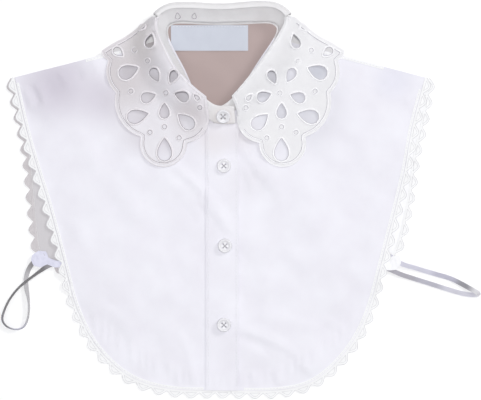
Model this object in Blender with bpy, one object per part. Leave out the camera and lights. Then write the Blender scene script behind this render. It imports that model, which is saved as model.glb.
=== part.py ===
"""Detachable collar: a half-blouse with cutwork collar leaves, laid flat on a table.

X runs to the viewer's right across the chest, Y from the hem to the collar and Z up
from the table. The wearer's right is at negative X. Sizes are in millimetres.
"""
import math
from collections import namedtuple

import bmesh
import bpy
import numpy as np
from mathutils import Vector
from mathutils.geometry import delaunay_2d_cdt

MM = 0.001
WALL = 1.0
GAP = 0.3
LAYER = WALL + GAP
CENTRE_X = 2.2

# The cut edge of each panel, from the shoulder tip down and in to the middle of the hem
EdgeRow = namedtuple("EdgeRow", "right_x right_y left_x left_y")
FRONT_EDGE = (
    EdgeRow(-178.8, 106.6, 177.6, 106.6),
    EdgeRow(-167.2, 57.0, 166.2, 63.0),
    EdgeRow(-156.6, 21.0, 160.2, 29.0),
    EdgeRow(-147.9, -7.0, 152.6, -4.0),
    EdgeRow(-135.5, -53.0, 139.4, -55.0),
    EdgeRow(-125.0, -93.0, 127.6, -98.0),
    EdgeRow(-107.0, -127.5, 109.5, -131.0),
    EdgeRow(-79.0, -153.0, 82.5, -156.0),
    EdgeRow(-44.0, -164.0, 52.0, -165.0),
    EdgeRow(2.2, -165.4, 2.2, -165.4),
)
BACK_EDGE = (
    EdgeRow(-180.4, 106.1, 180.2, 105.8),
    EdgeRow(-172.4, 70.0, 175.4, 74.0),
    EdgeRow(-166.2, 40.0, 167.4, 38.0),
    EdgeRow(-163.0, 10.0, 163.4, 8.0),
    EdgeRow(-159.8, -24.0, 157.2, -24.0),
    EdgeRow(-157.0, -43.0, 151.2, -43.0),
    EdgeRow(-150.0, -50.5, 144.0, -50.5),
    EdgeRow(-124.0, -63.5, 120.0, -63.5),
    EdgeRow(-66.0, -81.5, 68.0, -81.5),
    EdgeRow(2.2, -89.0, 2.2, -89.0),
)
SHOULDER_SLOPE_RIGHT = 0.306
SHOULDER_SLOPE_LEFT = 0.290

# The collar stand, from its lapping end round the back of the neck to its lower end
StandRow = namedtuple("StandRow", "seam_x seam_y fold_x fold_y fold_z lap")
STAND = (
    StandRow(13.2, 66.2, 11.8, 81.0, 12.8, 1.0),
    StandRow(2.2, 65.6, 3.4, 81.0, 12.8, 1.0),
    StandRow(-9.0, 69.2, -4.8, 82.6, 13.4, 1.0),
    StandRow(-17.6, 79.6, -13.0, 88.0, 14.6, 0.5),
    StandRow(-25.0, 96.0, -25.9, 98.5, 17.0, 0.0),
    StandRow(-32.0, 112.0, -39.1, 112.7, 19.4, 0.0),
    StandRow(-40.0, 127.0, -48.2, 129.5, 20.0, 0.0),
    StandRow(-46.0, 140.0, -54.8, 146.0, 19.0, 0.0),
    StandRow(-46.5, 150.0, -54.0, 158.0, 17.4, 0.0),
    StandRow(-39.0, 154.6, -43.5, 166.0, 15.4, 0.0),
    StandRow(-19.0, 154.2, -20.0, 166.2, 14.4, 0.0),
    StandRow(2.0, 153.6, 2.0, 165.0, 14.0, 0.0),
    StandRow(24.0, 154.4, 25.0, 167.0, 14.4, 0.0),
    StandRow(43.0, 154.8, 46.5, 167.0, 15.4, 0.0),
    StandRow(50.4, 149.6, 57.0, 158.0, 17.4, 0.0),
    StandRow(47.6, 140.0, 53.2, 145.0, 18.8, 0.0),
    StandRow(39.2, 127.0, 43.6, 129.6, 19.4, 0.0),
    StandRow(30.0, 113.0, 33.0, 114.4, 18.8, 0.0),
    StandRow(21.4, 98.4, 20.4, 99.0, 16.6, 0.0),
    StandRow(15.8, 84.4, 10.8, 88.6, 13.4, 0.0),
    StandRow(8.0, 72.0, 3.0, 82.2, 10.8, 0.0),
    StandRow(-6.0, 66.4, -5.0, 80.4, 10.4, 0.0),
)
STAND_WALL = 1.2
STAND_LAP = STAND_WALL + 2 * GAP
STAND_PER_SPAN = 2
STAND_ROWS = 3
# The band sits on the fronts below the shoulders, and on the back above them
SHOULDER_STEP_START = 9.0
SHOULDER_STEP_RUN = 6.0
RIGHT_SHOULDER_ROW = 7
LEFT_SHOULDER_ROW = 15
BACK_FIRST_ROW = 8
BACK_LAST_ROW = 14
NECK_TUCK = 1.6

# Outer edge of a collar leaf: the notches between its lobes, and how far each lobe stands out
LobeRow = namedtuple("LobeRow", "notch_x notch_y rise")
LEAF_LOBES = (
    LobeRow(-103.1, 129.6, 1.6),
    LobeRow(-97.3, 120.9, 4.4),
    LobeRow(-90.9, 93.1, 8.6),
    LobeRow(-69.2, 54.8, 23.6),
    LobeRow(-29.1, 49.6, 7.2),
    LobeRow(-10.2, 76.0, 0.0),
)
# The line over which a leaf rolls down at the shoulder, from the neck out
LEAF_ROLL = ((-59.6, 158.2), (-71.8, 149.4), (-81.3, 142.4), (-92.0, 136.6), (-103.1, 129.6))
LEAF_BEND = 28.0
LOBE_STEP = 5.0
LEAF_END_STEP = 1.6
LEAF_LIP = 1.6
LEAF_ROLL_WIDTH = 13.0
CREST_RUN = 6.0
CREST_START = 2.0
LEAF_MESH = 8.0
LEAF_OVER_STAND = 0.7 + STAND_WALL
# Extra rows of points beside the fold and beside the roll, where a leaf bends most
FOLD_OFFSETS = (3.4, 7.6)
ROLL_OFFSETS = (4.0,)
CUT_CLEARANCE = 1.8
# Beyond the shoulder line a leaf comes down from the front onto the turned-under fall
PAST_SHOULDER = 5.0
PAST_SHOULDER_RUN = 7.0

# Cut-through drops of the embroidery: middle, size, and the way the point faces in degrees.
# The first five are the petals of the flower, and the others fill the lobes.
DropRow = namedtuple("DropRow", "x y length width facing")
DROPS = (
    DropRow(-48.6, 77.4, 13.6, 9.2, 90.0),
    DropRow(-62.6, 89.2, 13.4, 9.8, 18.0),
    DropRow(-33.4, 89.6, 12.8, 9.4, 158.0),
    DropRow(-56.4, 108.0, 13.0, 8.8, -62.0),
    DropRow(-40.6, 105.8, 11.8, 8.0, -116.0),
    DropRow(-48.5, 43.8, 20.4, 13.4, 90.0),
    DropRow(-71.8, 72.8, 18.8, 12.8, 14.0),
    DropRow(-30.0, 68.2, 17.8, 12.2, 138.0),
    DropRow(-79.6, 111.4, 18.0, 12.8, 22.0),
    DropRow(-88.6, 128.2, 10.2, 7.6, -41.0),
    DropRow(-60.4, 137.0, 12.2, 8.6, 74.0),
)
DROP_POINTS = 12
DROP_FULLNESS = 0.62

# Soft folds pressed into the fronts: both ends of the ridge, its height and half-width
FoldRow = namedtuple("FoldRow", "x0 y0 x1 y1 height width")
FOLDS = (
    FoldRow(-36.0, 24.0, 6.0, -22.0, 2.3, 24.0),
    FoldRow(17.0, -114.0, 74.0, -136.0, 2.6, 18.0),
    FoldRow(-150.0, 86.0, -112.0, 104.0, 2.2, 16.0),
    FoldRow(-120.0, -20.0, -84.0, -84.0, 2.4, 22.0),
    FoldRow(60.0, 18.0, 96.0, -52.0, 2.4, 24.0),
    FoldRow(118.0, 84.0, 150.0, 40.0, 2.4, 20.0),
    FoldRow(-78.0, 6.0, -60.0, -54.0, 2.0, 22.0),
)
NECK_PUFF = 3.6
NECK_PUFF_REACH = 30.0
# Below the shoulder line the puff and the folds rise softly over these distances
PUFF_RUN = 25.0
FOLD_RUN = 30.0

PANEL_MESH = 13.0
BACK_MESH = 15.0
# Wider than the piece itself, so that no point is set inside its outline
NO_FIELD = 200.0
FIELD_MARGIN = 0.55
LIFT_MARGIN = 13.0
LIFT_RUN = 18.0

PLACKET_X0 = -12.4
PLACKET_X1 = 15.7
PLACKET_WALL = 1.2
PLACKET_RISE = PLACKET_WALL + GAP
PLACKET_TOP_DROP = 2.4
UNDER_PLACKET_RIGHT = -9.4
UNDER_PLACKET_LEFT = -8.4
KNOT_CLEARANCE = 1.0
NECK_CLEARANCE = 4.0
FREE_TOP_DROP = 2.0

SCALLOP_PITCH = 13.9
SCALLOP_DEPTH = 4.8
SCALLOP_FULLNESS = 1.3
PIECES_PER_SCALLOP = 6
KNOTS_PER_SCALLOP = 3
TRIM_BAND = 2.2
TRIM_WALL = 0.9
TRIM_CLEARANCE = 0.1

LABEL_X0 = -43.0
LABEL_X1 = 24.0
LABEL_Y0 = 129.6
LABEL_Y1 = 151.8
LABEL_WALL = 1.0
LABEL_STEP = 17.0
LABEL_MESH = 30.0

BUTTON_RADIUS = 6.2
BUTTON_THICKNESS = 2.4
BUTTON_EDGE = 1.3
BUTTON_ROUNDING = 1.0
BUTTON_RIM = 1.9
BUTTON_DISH = 0.7
BUTTON_DISH_RUN = 0.9
BUTTON_HOLE_RADIUS = 0.85
BUTTON_HOLE_SIDES = 6
BUTTON_HOLE_OFFSET = 1.65
BUTTON_SIDES = 20
# Rings of points on a button's upper side: how far in from its edge, and how many
BUTTON_RINGS = ((0.7, 16), (1.8, 12), (2.9, 10))
PlacketButton = namedtuple("PlacketButton", "x y")
PLACKET_BUTTONS = (
    PlacketButton(3.0, 29.6),
    PlacketButton(3.9, -39.7),
    PlacketButton(3.0, -108.2),
)
STAND_BUTTON_X = 2.4
STAND_BUTTON_UP = 0.47
STAND_BUTTON_GAP = 0.45

FALL_DEPTH_EDGE = ((-103.1, 128.4), (-76.0, 116.0), (-38.0, 108.0), (2.2, 105.6),
                   (42.4, 108.0), (80.4, 116.0), (107.5, 128.4))
FALL_WALL = 1.0
FALL_FLAT_ROWS = 4
FALL_END_SHARE = 0.26
# The fall's section at the back of the neck: reach beyond the fold, share of its height
FallRow = namedtuple("FallRow", "reach rise over inner_reach inner_rise inner_over")
FALL_ROWS = (
    FallRow(-1.4, 1.0, 1.0, -1.4, 1.0, 0.0),
    FallRow(1.6, 1.0, 1.0, 1.4, 1.0, 0.0),
    FallRow(4.0, 0.84, 1.0, 3.0, 0.80, 1.0),
    FallRow(5.2, 0.5, 1.0, 4.2, 0.5, 1.0),
    FallRow(4.6, 0.16, 0.0, 3.6, 0.2, 0.4),
    FallRow(2.4, 0.0, 0.0, 2.0, 0.0, 1.0),
)

LOOP_WIDTH = 4.0
LOOP_WALL = 0.9
LOOP_STEP = 2.6
# A loop's route and how far the band leans over onto its edge, in degrees
RoutePoint = namedtuple("RoutePoint", "x y z lean")
LOOP_RIGHT = (
    RoutePoint(-133.6, -52.6, 1.9, 0), RoutePoint(-141.0, -54.4, 1.9, 0),
    RoutePoint(-149.4, -57.0, 2.3, 15), RoutePoint(-156.2, -61.4, 3.2, 45),
    RoutePoint(-163.0, -66.4, 4.6, 60), RoutePoint(-169.4, -71.2, 4.5, 62),
    RoutePoint(-175.2, -76.2, 3.4, 64), RoutePoint(-180.2, -82.0, 2.3, 64),
    RoutePoint(-184.4, -88.4, 2.3, 64), RoutePoint(-188.0, -96.4, 2.3, 64),
    RoutePoint(-189.6, -104.0, 2.3, 60), RoutePoint(-185.8, -109.8, 2.2, 58),
    RoutePoint(-178.4, -112.4, 2.2, 58), RoutePoint(-171.6, -110.6, 2.2, 58),
    RoutePoint(-167.8, -104.2, 2.2, 58), RoutePoint(-166.4, -94.4, 2.2, 58),
    RoutePoint(-167.0, -85.4, 2.0, 52), RoutePoint(-168.6, -77.2, 1.4, 30),
    RoutePoint(-169.2, -70.2, 0.9, 12), RoutePoint(-168.4, -64.6, 1.1, 6),
    RoutePoint(-166.4, -59.6, 1.7, 0), RoutePoint(-163.0, -54.6, 2.0, 0),
    RoutePoint(-158.4, -50.2, 2.0, 0), RoutePoint(-153.4, -46.8, 2.0, 0),
)
LOOP_LEFT = (
    RoutePoint(138.0, -57.4, 1.9, 0), RoutePoint(147.0, -60.4, 1.9, 0),
    RoutePoint(156.2, -64.4, 1.6, 0), RoutePoint(165.0, -67.4, 0.9, 0),
    RoutePoint(174.6, -70.4, 0.6, 0), RoutePoint(185.4, -73.8, 0.6, 0),
    RoutePoint(196.2, -77.2, 0.6, 0), RoutePoint(207.4, -80.6, 0.6, 0),
    RoutePoint(215.6, -82.2, 0.6, 0), RoutePoint(221.4, -82.4, 0.8, 0),
    RoutePoint(224.4, -81.6, 1.9, 0), RoutePoint(221.6, -79.6, 2.9, 0),
    RoutePoint(216.2, -76.6, 2.4, 0), RoutePoint(209.4, -72.8, 1.2, 0),
    RoutePoint(199.8, -68.2, 0.6, 0), RoutePoint(188.4, -64.8, 0.6, 0),
    RoutePoint(177.4, -61.6, 0.7, 0), RoutePoint(167.6, -58.6, 1.4, 0),
    RoutePoint(159.8, -56.4, 2.0, 0), RoutePoint(152.8, -52.6, 2.0, 0),
    RoutePoint(146.6, -48.2, 2.0, 0),
)
LOOP_END_LIFT = 1.5
LOOP_END_FLAT = 9.0
LOOP_END_REACH = 17.0

WHITE = (0.86, 0.86, 0.90)
SHADE = (0.66, 0.62, 0.61)
BLUISH = (0.72, 0.76, 0.84)
GLOSSY = (0.88, 0.88, 0.90)
MATT = 0.85
GLOSS = 0.25
SHARP_DEGREES = 40


def clear_scene():
    for old in list(bpy.data.objects):
        bpy.data.objects.remove(old, do_unlink=True)


def smooth_line(points, per_span):
    """A Catmull-Rom curve through the points, with per_span pieces to each span."""
    points = np.asarray(points, dtype=float)
    padded = np.vstack([2 * points[0] - points[1], points, 2 * points[-1] - points[-2]])
    line = []
    for i in range(1, len(padded) - 2):
        before, start, end, after = padded[i - 1:i + 3]
        for k in range(per_span):
            t = k / per_span
            line.append(0.5 * (2 * start + (end - before) * t
                               + (2 * before - 5 * start + 4 * end - after) * t ** 2
                               + (3 * start - before - 3 * end + after) * t ** 3))
    line.append(points[-1])
    return np.array(line)


def even_line(points, step):
    """The same line with its points about one step apart."""
    points = np.asarray(points, dtype=float)
    lengths = np.linalg.norm(np.diff(points, axis=0), axis=1)
    along = np.concatenate([[0.0], np.cumsum(lengths)])
    count = max(1, round(along[-1] / step))
    marks = np.linspace(0.0, along[-1], count + 1)
    return np.column_stack([np.interp(marks, along, points[:, k]) for k in range(points.shape[1])])


def arc(start, end, rise, step):
    """Points from start up to, not with, end, standing out to the right by the rise."""
    start, end = np.array(start, dtype=float), np.array(end, dtype=float)
    chord = end - start
    length = np.linalg.norm(chord)
    right = np.array([chord[1], -chord[0]]) / length
    radius = (length ** 2 / 4 + rise ** 2) / (2 * rise)
    centre = (start + end) / 2 + right * (rise - radius)
    sweep = 2 * math.atan2(length / 2, radius - rise)
    count = max(2, math.ceil(radius * sweep / step))
    spoke = start - centre
    points = []
    for k in range(count):
        turn = sweep * k / count
        cosine, sine = math.cos(turn), math.sin(turn)
        points.append(centre + np.array([spoke[0] * cosine - spoke[1] * sine,
                                         spoke[0] * sine + spoke[1] * cosine]))
    return points


def mirrored(points):
    """The same plan points on the other side of the centre line."""
    points = np.array(points, dtype=float)
    points[:, 0] = 2 * CENTRE_X - points[:, 0]
    return points


def inside(points, polygon):
    """Which plan points lie inside a closed polygon."""
    points, polygon = np.atleast_2d(points), np.asarray(polygon)
    result = np.zeros(len(points), dtype=bool)
    ends = np.roll(polygon, -1, axis=0)
    for (x0, y0), (x1, y1) in zip(polygon, ends):
        if y0 == y1:
            continue
        crosses = (y0 > points[:, 1]) != (y1 > points[:, 1])
        at_x = x0 + (points[:, 1] - y0) * (x1 - x0) / (y1 - y0)
        result ^= crosses & (points[:, 0] < at_x)
    return result


def nearest(points, line):
    """Distance from each plan point to a line, and the place along it as a row number."""
    points, line = np.atleast_2d(points), np.asarray(line)[:, :2]
    best = np.full(len(points), 1e9)
    place = np.zeros(len(points))
    for i in range(len(line) - 1):
        step = line[i + 1] - line[i]
        along = np.clip(((points - line[i]) @ step) / max(step @ step, 1e-12), 0, 1)
        far = np.linalg.norm(points - line[i] - along[:, None] * step, axis=1)
        closer = far < best
        best[closer] = far[closer]
        place[closer] = i + along[closer]
    return best, place


def ease(value):
    """0 below 0, 1 above 1, and a soft step between."""
    value = np.clip(value, 0, 1)
    return value * value * (3 - 2 * value)


def closed(line):
    return np.vstack([line, line[:1]])


def lift_over(points, polygon):
    """1 on and near a polygon, falling softly to 0 beyond its margin."""
    far, _ = nearest(points, closed(polygon))
    far[inside(points, polygon)] = 0
    return 1 - ease((far - LIFT_MARGIN) / LIFT_RUN)


def edge_line(rows):
    """A panel's whole cut edge, tip to tip round the hem, in six pieces to each scallop."""
    right = [(row.right_x, row.right_y) for row in rows]
    left = [(row.left_x, row.left_y) for row in rows[-2::-1]]
    line = smooth_line(right + left, 6)
    length = np.linalg.norm(np.diff(line, axis=0), axis=1).sum()
    teeth = round(length / SCALLOP_PITCH)
    return even_line(line, length / (teeth * PIECES_PER_SCALLOP))


# The neck: seam and fold lines of the stand, by its table
SEAM_LINE = smooth_line([(row.seam_x, row.seam_y) for row in STAND], STAND_PER_SPAN)
FOLD_LINE = smooth_line([(row.fold_x, row.fold_y, row.fold_z) for row in STAND], STAND_PER_SPAN)
STAND_LAPS = smooth_line([(row.lap,) for row in STAND], STAND_PER_SPAN)[:, 0]
NECK_MIDDLE = np.array([CENTRE_X, 125.0])


def stand_part(line, first_row, last_row):
    return line[first_row * STAND_PER_SPAN:last_row * STAND_PER_SPAN + 1]


def tucked(line):
    """A neckline moved a little towards the middle of the neck, under the stand."""
    line = np.array(line)[:, :2]
    tangent = np.gradient(line, axis=0)
    normal = np.column_stack([-tangent[:, 1], tangent[:, 0]])
    normal /= np.linalg.norm(normal, axis=1)[:, None]
    if np.sum(normal * (NECK_MIDDLE - line)) < 0:
        normal = -normal
    return line + normal * NECK_TUCK


# The hidden middle of the turned-down collar: where it meets the table, and its far edge
ROLL_RIGHT = smooth_line(LEAF_ROLL, 3)
ROLL_LEFT = mirrored(ROLL_RIGHT)
FALL_FOLD = stand_part(FOLD_LINE, BACK_FIRST_ROW, BACK_LAST_ROW).copy()
FALL_FOLD[0] += FALL_END_SHARE * (FALL_FOLD[1] - FALL_FOLD[0])
FALL_FOLD[-1] += FALL_END_SHARE * (FALL_FOLD[-2] - FALL_FOLD[-1])
FALL_EDGE = even_line(smooth_line(FALL_DEPTH_EDGE, 4), 1.0)
FALL_REGION = np.vstack([ROLL_RIGHT[::-1], FALL_FOLD[:, :2], ROLL_LEFT, FALL_EDGE[::-12]])

BACK_LINE = edge_line(BACK_EDGE)
FRONT_LINE = edge_line(FRONT_EDGE)
BACK_KNOTS = BACK_LINE[::KNOTS_PER_SCALLOP]
FRONT_KNOTS = FRONT_LINE[::KNOTS_PER_SCALLOP]
BACK_REGION = np.vstack([BACK_LINE, stand_part(FOLD_LINE, RIGHT_SHOULDER_ROW,
                                               LEFT_SHOULDER_ROW)[::-1, :2]])
FRONT_NECK = np.vstack([stand_part(SEAM_LINE, 1, RIGHT_SHOULDER_ROW)[::-1],
                        stand_part(SEAM_LINE, LEFT_SHOULDER_ROW, 20)[::-1]])


def shoulder_drop(points):
    """How far each plan point lies below the shoulder line, negative beyond it."""
    points = np.atleast_2d(points)
    right_tip, left_tip = BACK_LINE[0], BACK_LINE[-1]
    right = right_tip[1] + SHOULDER_SLOPE_RIGHT * (points[:, 0] - right_tip[0])
    left = left_tip[1] - SHOULDER_SLOPE_LEFT * (points[:, 0] - left_tip[0])
    return np.minimum(right, left) - points[:, 1]


def back_under(points):
    return LAYER * lift_over(points, FALL_REGION)


def back_top(points):
    return back_under(points) + WALL


def fold_ridges(points):
    """The soft folds of the fronts, as a height above the lying cloth."""
    points = np.atleast_2d(points)
    height = np.zeros(len(points))
    for fold in FOLDS:
        far, _ = nearest(points, [(fold.x0, fold.y0), (fold.x1, fold.y1)])
        height += fold.height * np.exp(-(far / fold.width) ** 2)
    return height


def neck_puff(points):
    """The fronts swell a little towards the standing collar."""
    far, _ = nearest(points, FRONT_NECK)
    return NECK_PUFF * np.exp(-(far / NECK_PUFF_REACH) ** 2) * ease(shoulder_drop(points) / PUFF_RUN)


def loop_room(points):
    """Room over the sewn-in ends of the two loops."""
    height = np.zeros(len(points))
    for end in (LOOP_RIGHT[0], LOOP_LEFT[0]):
        far = np.linalg.norm(points - np.array([end.x, end.y]), axis=1)
        height += LOOP_END_LIFT * (1 - ease((far - LOOP_END_FLAT) / LOOP_END_REACH))
    return height


def front_under(points):
    points = np.atleast_2d(points)
    lying = back_under(points) + LAYER * lift_over(points, BACK_REGION)
    calm = ease(shoulder_drop(points) / FOLD_RUN)
    return lying + neck_puff(points) + fold_ridges(points) * calm + loop_room(points)


def front_top(points):
    return front_under(points) + WALL


def paint(piece, colour, roughness):
    material = bpy.data.materials.new(piece.name + "_finish")
    material.use_nodes = True
    shader = material.node_tree.nodes["Principled BSDF"]
    shader.inputs["Base Color"].default_value = (*colour, 1.0)
    shader.inputs["Roughness"].default_value = roughness
    shader.inputs["Metallic"].default_value = 0.0
    piece.data.materials.append(material)


def make_solid(name, verts, faces, colour, roughness=MATT):
    """A closed solid from points in millimetres and its faces."""
    mesh = bpy.data.meshes.new(name)
    shape = bmesh.new()
    corners = [shape.verts.new(Vector(point) * MM) for point in verts]
    for face in faces:
        shape.faces.new([corners[k] for k in face])
    bmesh.ops.triangulate(shape, faces=shape.faces[:])
    bmesh.ops.recalc_face_normals(shape, faces=shape.faces[:])
    shape.to_mesh(mesh)
    shape.free()
    mesh.shade_smooth()
    mesh.set_sharp_from_angle(angle=math.radians(SHARP_DEGREES))
    piece = bpy.data.objects.new(name, mesh)
    bpy.context.collection.objects.link(piece)
    paint(piece, colour, roughness)
    return piece


def plan_mesh(outline, holes, spacing, extra=()):
    """Triangles over a plan outline less its holes, with an even field of inner points."""
    loops = [np.asarray(outline)] + [np.asarray(hole) for hole in holes]
    rows = []
    low, high = loops[0].min(axis=0), loops[0].max(axis=0)
    row_height = spacing * math.sqrt(3) / 2
    for j in range(int((high[1] - low[1]) / row_height) + 1):
        shift = spacing / 2 if j % 2 else 0.0
        for i in range(int((high[0] - low[0]) / spacing) + 1):
            rows.append((low[0] + shift + i * spacing, low[1] + (j + 0.5) * row_height))
    field = np.array(rows)
    keep = inside(field, loops[0])
    for loop in loops:
        keep &= nearest(field, closed(loop))[0] > FIELD_MARGIN * spacing
    for hole in loops[1:]:
        keep &= ~inside(field, hole)
    points = np.vstack(loops + [field[keep]] + ([np.asarray(extra)] if len(extra) else []))
    edges = []
    first = 0
    for loop in loops:
        count = len(loop)
        edges += [(first + k, first + (k + 1) % count) for k in range(count)]
        first += count
    made = delaunay_2d_cdt([Vector(point) for point in points], edges, [], 0, 1e-5)
    flat = np.array([tuple(point) for point in made[0]])
    corners = np.array([tuple(face) for face in made[2]])
    middles = flat[corners].mean(axis=1)
    wanted = inside(middles, loops[0])
    for hole in loops[1:]:
        wanted &= ~inside(middles, hole)
    return flat, corners[wanted]


def make_sheet(name, outline, under, over, colour, holes=(), spacing=PANEL_MESH, extra=(),
               roughness=MATT):
    """Cloth over a plan outline, between an under side and an upper side."""
    flat, corners = plan_mesh(outline, holes, spacing, extra)
    used = sorted(set(corners.ravel()))
    renumber = {old: new for new, old in enumerate(used)}
    flat = flat[used]
    count = len(flat)
    verts = [(x, y, z) for (x, y), z in zip(flat, over(flat))]
    verts += [(x, y, z) for (x, y), z in zip(flat, under(flat))]
    faces = []
    rim = {}
    for triangle in corners:
        a, b, c = (renumber[k] for k in triangle)
        side = np.cross(flat[b] - flat[a], flat[c] - flat[a])
        if side < 0:
            b, c = c, b
        faces += [(a, b, c), (a + count, c + count, b + count)]
        for start, end in ((a, b), (b, c), (c, a)):
            if (end, start) in rim:
                del rim[(end, start)]
            else:
                rim[(start, end)] = True
    for start, end in rim:
        faces.append((start + count, end + count, end, start))
    return make_solid(name, verts, faces, colour, roughness)


def make_shell(name, inner, outer, colour):
    """A closed wall between two grids of points, each rows by columns."""
    rows, columns = inner.shape[:2]
    verts = [tuple(p) for p in inner.reshape(-1, 3)] + [tuple(p) for p in outer.reshape(-1, 3)]
    far = rows * columns

    def at(row, column):
        return row * columns + column

    faces = []
    for r in range(rows - 1):
        for c in range(columns - 1):
            quad = (at(r, c), at(r, c + 1), at(r + 1, c + 1), at(r + 1, c))
            faces += [quad, tuple(k + far for k in reversed(quad))]
    for c in range(columns - 1):
        for r in (0, rows - 1):
            faces.append((at(r, c), at(r, c + 1), at(r, c + 1) + far, at(r, c) + far))
    for r in range(rows - 1):
        for c in (0, columns - 1):
            faces.append((at(r, c), at(r + 1, c), at(r + 1, c) + far, at(r, c) + far))
    return make_solid(name, verts, faces, colour)


def hem_at(x):
    """Where the front hem lies at a place across it."""
    low = FRONT_KNOTS[FRONT_KNOTS[:, 1] < BACK_EDGE[-1].right_y]
    return np.interp(x, low[:, 0], low[:, 1])


def make_panels():
    """The back and the two fronts, stacked as they lie."""
    back_neck = tucked(stand_part(SEAM_LINE, RIGHT_SHOULDER_ROW, LEFT_SHOULDER_ROW))
    right_shoulder = even_line([back_neck[0], BACK_KNOTS[0]], PANEL_MESH)[1:-1]
    left_shoulder = even_line([BACK_KNOTS[-1], back_neck[-1]], PANEL_MESH)[1:-1]
    outline = np.vstack([right_shoulder, BACK_KNOTS, left_shoulder, back_neck[::-1]])
    make_sheet("back_panel", outline, back_under, back_top, SHADE, spacing=BACK_MESH)

    neck = tucked(stand_part(SEAM_LINE, 1, RIGHT_SHOULDER_ROW))
    neck = neck[neck[:, 0] < UNDER_PLACKET_RIGHT - KNOT_CLEARANCE]
    side = FRONT_KNOTS[FRONT_KNOTS[:, 0] < UNDER_PLACKET_RIGHT - KNOT_CLEARANCE]
    shoulder = even_line([neck[-1], side[0]], PANEL_MESH)[1:-1]
    free = even_line([(UNDER_PLACKET_RIGHT, hem_at(UNDER_PLACKET_RIGHT)),
                      (UNDER_PLACKET_RIGHT, neck[0][1] - FREE_TOP_DROP)], PANEL_MESH)
    outline = np.vstack([shoulder, side, free, neck])
    make_sheet("front_right", outline, front_under, front_top, WHITE)

    neck = tucked(stand_part(SEAM_LINE, LEFT_SHOULDER_ROW, len(STAND) - 1))
    neck = neck[neck[:, 0] > UNDER_PLACKET_LEFT + NECK_CLEARANCE]
    side = FRONT_KNOTS[FRONT_KNOTS[:, 0] > UNDER_PLACKET_LEFT + KNOT_CLEARANCE][::-1]
    shoulder = even_line([neck[0], side[0]], PANEL_MESH)[1:-1]
    free = even_line([(UNDER_PLACKET_LEFT, hem_at(UNDER_PLACKET_LEFT)),
                      (UNDER_PLACKET_LEFT, neck[-1][1])], PANEL_MESH)
    outline = np.vstack([shoulder, side, free, neck[::-1]])
    make_sheet("front_left", outline, front_under, front_top, WHITE)


def placket_under(points):
    return front_top(points) + GAP


def placket_top(points):
    return placket_under(points) + PLACKET_WALL


def make_placket():
    top = min(row.seam_y for row in STAND) - PLACKET_TOP_DROP
    right = even_line([(PLACKET_X0, top), (PLACKET_X0, hem_at(PLACKET_X0))], PANEL_MESH)
    left = even_line([(PLACKET_X1, hem_at(PLACKET_X1)), (PLACKET_X1, top)], PANEL_MESH)
    make_sheet("placket", np.vstack([right, left]), placket_under, placket_top, WHITE)


def scallop(along):
    """How far the lace stands out at a distance along it: a row of rounded points."""
    wave = abs(math.sin(math.pi * along / SCALLOP_PITCH))
    return TRIM_BAND + SCALLOP_DEPTH * wave ** SCALLOP_FULLNESS


def make_trim(name, line, under):
    """Scalloped lace along a cut edge, standing out on the line's right."""
    tangent = np.gradient(line, axis=0)
    tangent /= np.linalg.norm(tangent, axis=1)[:, None]
    out = np.column_stack([tangent[:, 1], -tangent[:, 0]])
    reach = np.array([scallop(k * SCALLOP_PITCH / PIECES_PER_SCALLOP) for k in range(len(line))])
    inner = (line + out * GAP)[::KNOTS_PER_SCALLOP]
    outer = line + out * reach[:, None]
    outline = np.vstack([outer, inner[::-1]])
    make_sheet(name, outline, under, lambda p: under(p) + TRIM_WALL, WHITE,
               spacing=NO_FIELD)


def make_trims():
    def front_trim_under(points):
        return front_under(points) + TRIM_CLEARANCE

    def back_trim_under(points):
        return back_under(points) + TRIM_CLEARANCE

    valleys = range(0, len(FRONT_LINE), PIECES_PER_SCALLOP)
    free_edge = np.array([PLACKET_X1, hem_at(PLACKET_X1)])
    cut = min(valleys, key=lambda k: np.linalg.norm(FRONT_LINE[k] - free_edge))
    right, left = FRONT_LINE[:cut + 1].copy(), FRONT_LINE[cut:].copy()
    right[-1, 0] -= GAP / 2
    left[0, 0] += GAP / 2
    make_trim("trim_front_right", right, front_trim_under)
    make_trim("trim_front_left", left, front_trim_under)
    make_trim("trim_back", BACK_LINE, back_trim_under)


def stand_surfaces():
    """Inner and outer grids of the stand, rows from the seam to the fold."""
    seam_xy = SEAM_LINE
    lying = back_top(seam_xy) + GAP
    front_share = ease((shoulder_drop(seam_xy) + SHOULDER_STEP_START) / SHOULDER_STEP_RUN)
    seam_z = lying + front_share * np.maximum(front_top(seam_xy) + GAP - lying, 0)
    seam_z += STAND_LAPS * STAND_LAP
    seam = np.column_stack([seam_xy, seam_z])
    rows = [seam + (FOLD_LINE - seam) * (r / (STAND_ROWS - 1)) for r in range(STAND_ROWS)]
    inner = np.array(rows)
    along = np.gradient(inner, axis=1)
    up = np.gradient(inner, axis=0)
    normal = np.cross(up, along)
    normal /= np.linalg.norm(normal, axis=2)[:, :, None]
    sunk = np.minimum(normal[0, :, 2], 0) * STAND_WALL
    inner[0, :, 2] -= sunk
    return inner, inner + normal * STAND_WALL


def make_stand():
    inner, outer = stand_surfaces()
    make_shell("collar_stand", inner, outer, WHITE)
    return outer


def beside_placket(points):
    """1 over and next to the placket, 0 well clear of it."""
    far = np.maximum(PLACKET_X0 - points[:, 0], points[:, 0] - PLACKET_X1)
    return 1 - ease((far - LEAF_MESH) / LEAF_MESH)


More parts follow.
